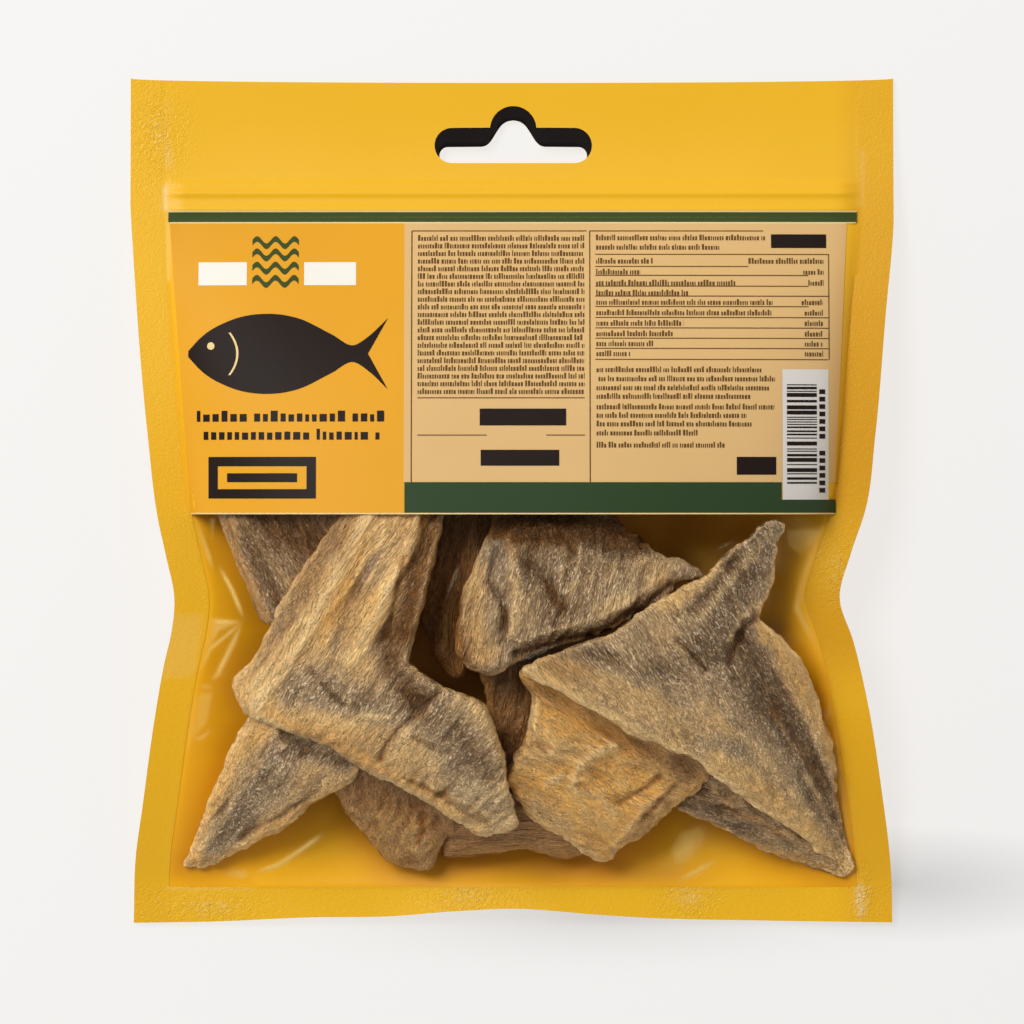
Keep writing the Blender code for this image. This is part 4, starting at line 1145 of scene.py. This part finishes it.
# Each field is (left, right, low, high). The tan and orange fields narrow with the pouch.
STRIPE = (-69.6, 69.8, 56.4, 58.4)
STRIPE_LINES = ((-69.6, 69.8, 58.4, 58.75), (-69.3, 69.6, 56.12, 56.4))
ORANGE_FIELD = ((-64.9, -69.3), -21.75, -2.5, 56.12)
TAN_FIELD = (-21.75, (65.2, 67.8), 3.7, 56.12)
BANDS = ((-21.6, 54.3, -2.45, 3.7), (54.3, 65.4, -2.45, 0.2))
PATCH = (54.5, 63.9, 0.2, 26.5)
FOOT_LINE = ((-64.9, 65.3, -2.75, -2.45),)
RULES = (
    (-20.36, -20.12, 3.66, 54.55), (-20.24, 15.08, 54.47, 54.68), (15.69, 50.81, 54.47, 54.68),
    (15.59, 15.83, 3.66, 54.55), (-19.03, 14.57, 20.57, 20.77), (-19.03, -5.06, 13.06, 13.26),
    (6.88, 14.68, 13.06, 13.26), (16.8, 64.17, 49.7, 49.9), (16.8, 47.77, 47.23, 47.43),
    (16.8, 59.92, 45.4, 45.61), (16.8, 59.92, 43.22, 43.42), (16.8, 64.17, 41.19, 41.4),
    (16.8, 59.92, 39.07, 39.27), (16.8, 64.17, 36.84, 37.04), (16.8, 64.17, 34.72, 34.92),
    (16.8, 64.17, 32.63, 32.83), (16.8, 64.17, 30.57, 30.77), (16.8, 63.77, 28.34, 28.54),
    (63.95, 64.15, 28.4, 49.8),
)
# Rows of small blocks: (left, right, middle height). The first ones are an even field of rows.
BLOCK_ROWS, BLOCK_TOP, BLOCK_PITCH = 21, 53.14, 1.556
BLOCK_SPAN = (-19.0, 14.6)
TYPE_ROWS = (
    (17, 51.2, 53.24), (17, 41.9, 51.32), (17, 28.5, 48.48), (47.8, 63, 48.48), (17, 25.9, 46.26),
    (17, 45.1, 44.03), (17, 35.6, 42), (17, 52.6, 40.08), (17, 52.6, 37.96), (17, 34.6, 35.83),
    (17, 32.4, 33.7), (17, 28.5, 31.68), (17, 23.9, 29.66), (17, 50.4, 26.42), (17.4, 53, 24.6),
    (17, 51.8, 22.77), (17, 48.2, 21.05), (17, 52.8, 18.93), (17, 47.2, 17.21), (17, 48.2, 15.49),
    (17, 37.3, 13.66), (17, 42.9, 11.23), (58.9, 63, 46.26), (59.9, 63, 44.03), (58.5, 62.8, 40.08),
    (59.1, 62.8, 37.96), (59.1, 62.8, 35.83), (59.1, 62.8, 33.7), (59.1, 62.8, 31.68), (59.1, 62.8, 29.66),
)
TYPE_HEIGHT, TYPE_WIDTH = 1.16, 0.36
TITLE_ROWS = ((-63.6, -25.7, 17.0), (-62.2, -26.5, 13.35))
TITLE_HEIGHT, TITLE_WIDTH = 2.2, 1.15
# Shares of a row's height and of a block's width, and how many blocks stand together.
BLOCK_HEIGHTS = (0.66, 0.7, 0.74, 1.0)
BLOCK_WIDTHS = (0.55, 1.3)
BLOCK_GAP, GROUP_GAP = 0.5, 0.8
GROUP_SIZES = (3, 13)
PLAIN_BARS = ((-6.5, 10.9, 15.1, 18.5), (-6.3, 9.5, 7.0, 10.2), (52.4, 63.6, 51.1, 53.9),
              (45.2, 53.2, 5.2, 8.8))
WHITE_BARS = ((-63.4, -53.6, 43.5, 48.2), (-42.0, -31.5, 43.5, 48.2))
# Bars on the patch: the margins left and right of them and at their ends, their heights and
# gaps, and the same of the short ticks that stand beside them.
BARS_LEFT, BARS_RIGHT, BARS_END = 0.9, 2.4, 3.2
BAR_HEIGHTS, BAR_GAPS = (0.2, 0.2, 0.35, 0.5, 0.8), (0.25, 0.3, 0.45, 0.6)
TICKS_LEFT, TICKS_RIGHT, TICKS_END = 1.9, 0.7, 1.4
TICK_HEIGHT, TICK_STEPS = 0.95, (1.5, 1.5, 3.4)
FRAME = (-61.2, -39.4, 0.4, 8.8)
FRAME_LINE = 1.9
FRAME_BAR = 0.9
WAVE_ROWS = (44.3, 47.0, 49.7, 52.2)
WAVES_X, WAVES_WIDTH, WAVE_BENDS = -47.8, 9.4, 5
WAVE_SWING, WAVE_LINE = 0.75, 1.15
# The fish: where along its length each half height is reached, and how deep the tail is forked.
FISH_LEFT, FISH_RIGHT, FISH_MIDDLE = -65.4, -25.0, 29.6
FISH_HALVES = ((0, 0.6), (0.06, 3.2), (0.2, 6.6), (0.38, 8.1), (0.55, 7.2), (0.72, 3.9), (0.83, 1.7),
               (0.9, 3.4), (1.0, 7.2))
FISH_FORK, TAIL_START, TAIL_LENGTH = 4.0, 0.8, 0.2
# Its eye and gill, from its left end and its middle line.
EYE_X, EYE_Y, EYE_RADIUS = 4.6, 1.6, 0.75
GILL_X, GILL_BEND, GILL_LINE, GILL_HEIGHT = 8.4, 1.6, 0.45, 8.6


def ink(name, colour):
    """Printed ink on matt film, a little uneven, and deeper where painted shade is laid."""
    material, tree, shader, place = new_material(name)
    dark = tuple(channel * (1 - INK_MOTTLE) for channel in colour) + (1,)
    light = tuple(min(channel * (1 + INK_MOTTLE), 1) for channel in colour) + (1,)
    tint = deepened(tree, blended(tree, mottling(tree, place, 45.0, 3.0), dark, light))
    grain = mottling(tree, place, MATT_GRAIN, 2.0)
    set_finish(tree, shader, tint, 0.5, 0.12, relief(tree, grain, 0.25, 0.00005))
    return material


def add_field(bm, left, right, low, high):
    """Adds a rectangle of print to a shape. left and right may each be a pair, (low, high)."""
    left = left if isinstance(left, tuple) else (left, left)
    right = right if isinstance(right, tuple) else (right, right)
    columns = max(1, math.ceil((right[0] - left[0]) / INK_GRID))
    rows = max(1, math.ceil((high - low) / INK_GRID))
    for vert in bmesh.ops.create_grid(bm, x_segments=columns, y_segments=rows, size=0.5)["verts"]:
        t = vert.co.y + 0.5
        start = left[0] + (left[1] - left[0]) * t
        end = right[0] + (right[1] - right[0]) * t
        vert.co = (start + (end - start) * (vert.co.x + 0.5), low + (high - low) * t, 0)


def add_type(bm, left, right, middle, height, width):
    """Adds a row of small blocks of uneven width and height, in groups."""
    place, group = left, chance.randint(*GROUP_SIZES)
    low = middle - height / 2
    while place < right:
        block = min(width * chance.uniform(*BLOCK_WIDTHS), right - place)
        add_field(bm, place, place + block, low, low + height * chance.choice(BLOCK_HEIGHTS))
        place += block + BLOCK_GAP * width
        group -= 1
        if group == 0:
            place += GROUP_GAP * width
            group = chance.randint(*GROUP_SIZES)


def printed(name, bm, level, material):
    x, y, _ = places_of(bm)
    seam = SEAM_LIFT * np.exp(-(seam_gap(x, y) / SEAM_WIDTH) ** 2)
    move_to(bm, x, y, face_z(x, y) + INK_STEP * level + seam)
    piece = finished_piece(name, bm, material)
    # Painted shade where the side margins turn away from the light.
    paint(piece.data, "shade", side_shade(x, y))
    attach(piece, "root")
    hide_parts("pouch")


def printed_fields(name, fields, level, material):
    """Prints rectangles as one piece."""
    bm = bmesh.new()
    for field in fields:
        add_field(bm, *field)
    printed(name, bm, level, material)


def printed_rows(name, rows, height, width, material):
    """Prints rows of small blocks as one piece."""
    bm = bmesh.new()
    for left, right, middle in rows:
        add_type(bm, left, right, middle, height, width)
    printed(name, bm, 2, material)


GREEN_INK = ink("green_ink", (0.045, 0.070, 0.016))
CREAM_INK = ink("cream_ink", (0.80, 0.60, 0.27))
BROWN_INK = ink("brown_ink", (0.13, 0.062, 0.016))
DARK_INK = ink("dark_ink", (0.014, 0.007, 0.005))
WHITE_INK = ink("white_ink", (0.86, 0.83, 0.76))
printed_fields("green_stripe", (STRIPE,), 1, GREEN_INK)
printed_fields("stripe_lines", STRIPE_LINES, 1, CREAM_INK)
printed_fields("orange_field", (ORANGE_FIELD,), 1, ink("orange_ink", (0.76, 0.355, 0.020)))
printed_fields("tan_field", (TAN_FIELD,), 1, ink("tan_ink", (0.70, 0.45, 0.19)))
printed_fields("green_bands", BANDS, 2, ink("band_ink", (0.027, 0.056, 0.020)))
printed_fields("foot_line", FOOT_LINE, 1, CREAM_INK)
printed_fields("rules", RULES, 2, BROWN_INK)
printed_fields("plain_bars", PLAIN_BARS, 2, DARK_INK)
printed_fields("white_bars", WHITE_BARS, 2, WHITE_INK)
printed_fields("bar_patch", (PATCH,), 3, ink("patch_ink", (0.70, 0.66, 0.61)))

chance = random.Random(7)
block_rows = [(*BLOCK_SPAN, BLOCK_TOP - BLOCK_PITCH * row) for row in range(BLOCK_ROWS)]
printed_rows("small_type", (*block_rows, *TYPE_ROWS), TYPE_HEIGHT, TYPE_WIDTH, BROWN_INK)
printed_rows("title_rows", TITLE_ROWS, TITLE_HEIGHT, TITLE_WIDTH, DARK_INK)

bm = bmesh.new()
left, right, low, high = PATCH
place = low + BARS_END
while place < high - BARS_END:
    thick = chance.choice(BAR_HEIGHTS)
    add_field(bm, left + BARS_LEFT, right - BARS_RIGHT, place, place + thick)
    place += thick + chance.choice(BAR_GAPS)
place = low + TICKS_END
while place < high - BARS_END:
    add_field(bm, right - TICKS_LEFT, right - TICKS_RIGHT, place, place + TICK_HEIGHT)
    place += chance.choice(TICK_STEPS)
printed("patch_bars", bm, 4, DARK_INK)

left, right, low, high = FRAME
inner_low, inner_high, middle = low + FRAME_LINE, high - FRAME_LINE, (low + high) / 2
frame_lines = (
    (left, right, inner_high, high), (left, right, low, inner_low),
    (left, left + FRAME_LINE, inner_low, inner_high), (right - FRAME_LINE, right, inner_low, inner_high),
    (left + 2 * FRAME_LINE, right - 2 * FRAME_LINE, middle - FRAME_BAR, middle + FRAME_BAR),
)
printed_fields("weight_frame", frame_lines, 2, DARK_INK)

bm = bmesh.new()
for middle in WAVE_ROWS:
    for vert in bmesh.ops.create_grid(bm, x_segments=36, y_segments=1, size=0.5)["verts"]:
        swing = math.sin((vert.co.x + 0.5) * WAVE_BENDS * math.pi)
        vert.co = (WAVES_X + WAVES_WIDTH * vert.co.x,
                   middle + WAVE_SWING * swing + WAVE_LINE * vert.co.y, 0)
printed("waves", bm, 2, GREEN_INK)

bm = bmesh.new()
bmesh.ops.create_grid(bm, x_segments=60, y_segments=16, size=0.5)
u, v, _ = places_of(bm)
share = u + 0.5
fork = FISH_FORK * (1 - 2 * np.abs(v)) * np.clip((share - TAIL_START) / TAIL_LENGTH, 0, 1)
x = FISH_LEFT + (FISH_RIGHT - FISH_LEFT) * share - fork
move_to(bm, x, FISH_MIDDLE + 2 * v * along(FISH_HALVES, share), 0 * x)
printed("plain_fish", bm, 2, DARK_INK)

bm = bmesh.new()
for vert in bmesh.ops.create_circle(bm, cap_ends=True, segments=24, radius=EYE_RADIUS)["verts"]:
    vert.co += Vector((FISH_LEFT + EYE_X, FISH_MIDDLE + EYE_Y, 0))
for vert in bmesh.ops.create_grid(bm, x_segments=2, y_segments=12, size=0.5)["verts"]:
    bend = GILL_BEND * (1 - (2 * vert.co.y) ** 2)
    vert.co = (FISH_LEFT + GILL_X + bend + GILL_LINE * vert.co.x, FISH_MIDDLE + GILL_HEIGHT * vert.co.y, 0)
printed("fish_eye_and_gill", bm, 3, CREAM_INK)

# ---------------------------------------------------------------------------------------------
# Floor, light and camera. A pale studio table that glows evenly, with painted falloff of the
# light towards its lower right and painted shadows of the pouch at its lower right and at its
# foot, one large soft light from the upper left, and a camera straight above the pouch.
# ---------------------------------------------------------------------------------------------
FLOOR_SIZE = 2000
FLOOR_COLOUR = (0.13, 0.13, 0.13, 1)
FLOOR_GLOW = (0.80, 0.79, 0.775, 1)
FAR_GLOW = (0.745, 0.73, 0.715, 1)
SHADOW_GLOW = (0.49, 0.485, 0.475, 1)
# Each gradient over the floor: its kind, its shift, its size and its turn. The first is painted
# falloff of the light; the other two are painted shadows of the pouch.
TO_FAR_SIDE = ("LINEAR", (0.5, 0, 0), (3.4, 3.4, 1), math.pi / 4)
SHADOW_BY_CORNER = ("SPHERICAL", (-1.64, 6.43, 0), (21.3, 82.6, 1), 0)
SHADOW_BY_FOOT = ("QUADRATIC_SPHERE", (-0.22, 6.04, 0), (12.5, 71.4, 1), 0)
FOOT_SHADOW = 0.65
HORIZON, ZENITH = (0.62, 0.615, 0.605, 1), (0.10, 0.10, 0.10, 1)
DOME_STOPS = ((0.72, (0.62, 0.62, 0.62, 1)), (0.90, (0.14, 0.14, 0.14, 1)))
KEY_PLACE, KEY_SIZE, KEY_POWER = (-2.3, 2.2, 4.0), 2.4, 190.0
KEY_COLOUR = (1.0, 0.985, 0.96)
CAMERA_HEIGHT = 3.0
VIEW_WIDTH = 0.2073
VIEW_CENTRE_Y = -0.0023
EDGE_LEVEL = 0.006
SENSOR = 36.0


def falling_off(tree, place, gradient, shift, size, turn):
    """A gradient over the floor, shifted, scaled and turned to where it falls off."""
    slope = add_node(tree, "Mapping", Vector=place, Location=shift, Rotation=(0, 0, turn), Scale=size)
    kind = {"gradient_type": gradient}
    return add_node(tree, "TexGradient", kind, Vector=slope.outputs[0]).outputs["Fac"]


bm = bmesh.new()
bmesh.ops.create_grid(bm, x_segments=4, y_segments=4, size=FLOOR_SIZE)
floor_material, tree, shader, place = new_material("studio_floor")
shader.inputs["Base Color"].default_value = FLOOR_COLOUR
shader.inputs["Roughness"].default_value = 0.9
shader.inputs["Specular IOR Level"].default_value = 0.1
foot_shadow = worked_out(tree, "MULTIPLY", falling_off(tree, place, *SHADOW_BY_FOOT), FOOT_SHADOW)
painted_shadow = worked_out(tree, "MAXIMUM", falling_off(tree, place, *SHADOW_BY_CORNER), foot_shadow)
glow = blended(tree, falling_off(tree, place, *TO_FAR_SIDE), FLOOR_GLOW, FAR_GLOW)
tree.links.new(blended(tree, painted_shadow, glow, SHADOW_GLOW), shader.inputs["Emission Color"])
shader.inputs["Emission Strength"].default_value = 1.0
floor = finished_piece("studio_floor", bm, floor_material)

world = bpy.data.worlds.new("studio")
bpy.context.scene.world = world
world.use_nodes = True
sky = world.node_tree
direction = add_node(sky, "TexCoord")
split = add_node(sky, "SeparateXYZ", Vector=direction.outputs["Generated"])
dome = add_node(sky, "ValToRGB", Fac=split.outputs["Z"])
dome.color_ramp.elements[0].color, dome.color_ramp.elements[1].color = HORIZON, ZENITH
for position, level in DOME_STOPS:
    dome.color_ramp.elements.new(position).color = level
sky.links.new(dome.outputs[0], sky.nodes["Background"].inputs["Color"])
sky.nodes["Background"].inputs["Strength"].default_value = 1.0

key_data = bpy.data.lights.new("key", "AREA")
key_data.shape = "SQUARE"
key_data.size = KEY_SIZE
key_data.energy = KEY_POWER
key_data.color = KEY_COLOUR
key = bpy.data.objects.new("key", key_data)
key.location = KEY_PLACE
key.rotation_euler = (Vector((0, 0, 0)) - key.location).to_track_quat("-Z", "Y").to_euler()
bpy.context.scene.collection.objects.link(key)

camera_data = bpy.data.cameras.new("camera")
camera_data.sensor_width = SENSOR
camera_data.lens = SENSOR * (CAMERA_HEIGHT - EDGE_LEVEL) / VIEW_WIDTH
camera_data.clip_end = 20.0
camera = bpy.data.objects.new("camera", camera_data)
camera.location = (0, VIEW_CENTRE_Y, CAMERA_HEIGHT)
bpy.context.scene.collection.objects.link(camera)
bpy.context.scene.camera = camera

bpy.context.scene.view_settings.view_transform = "Standard"
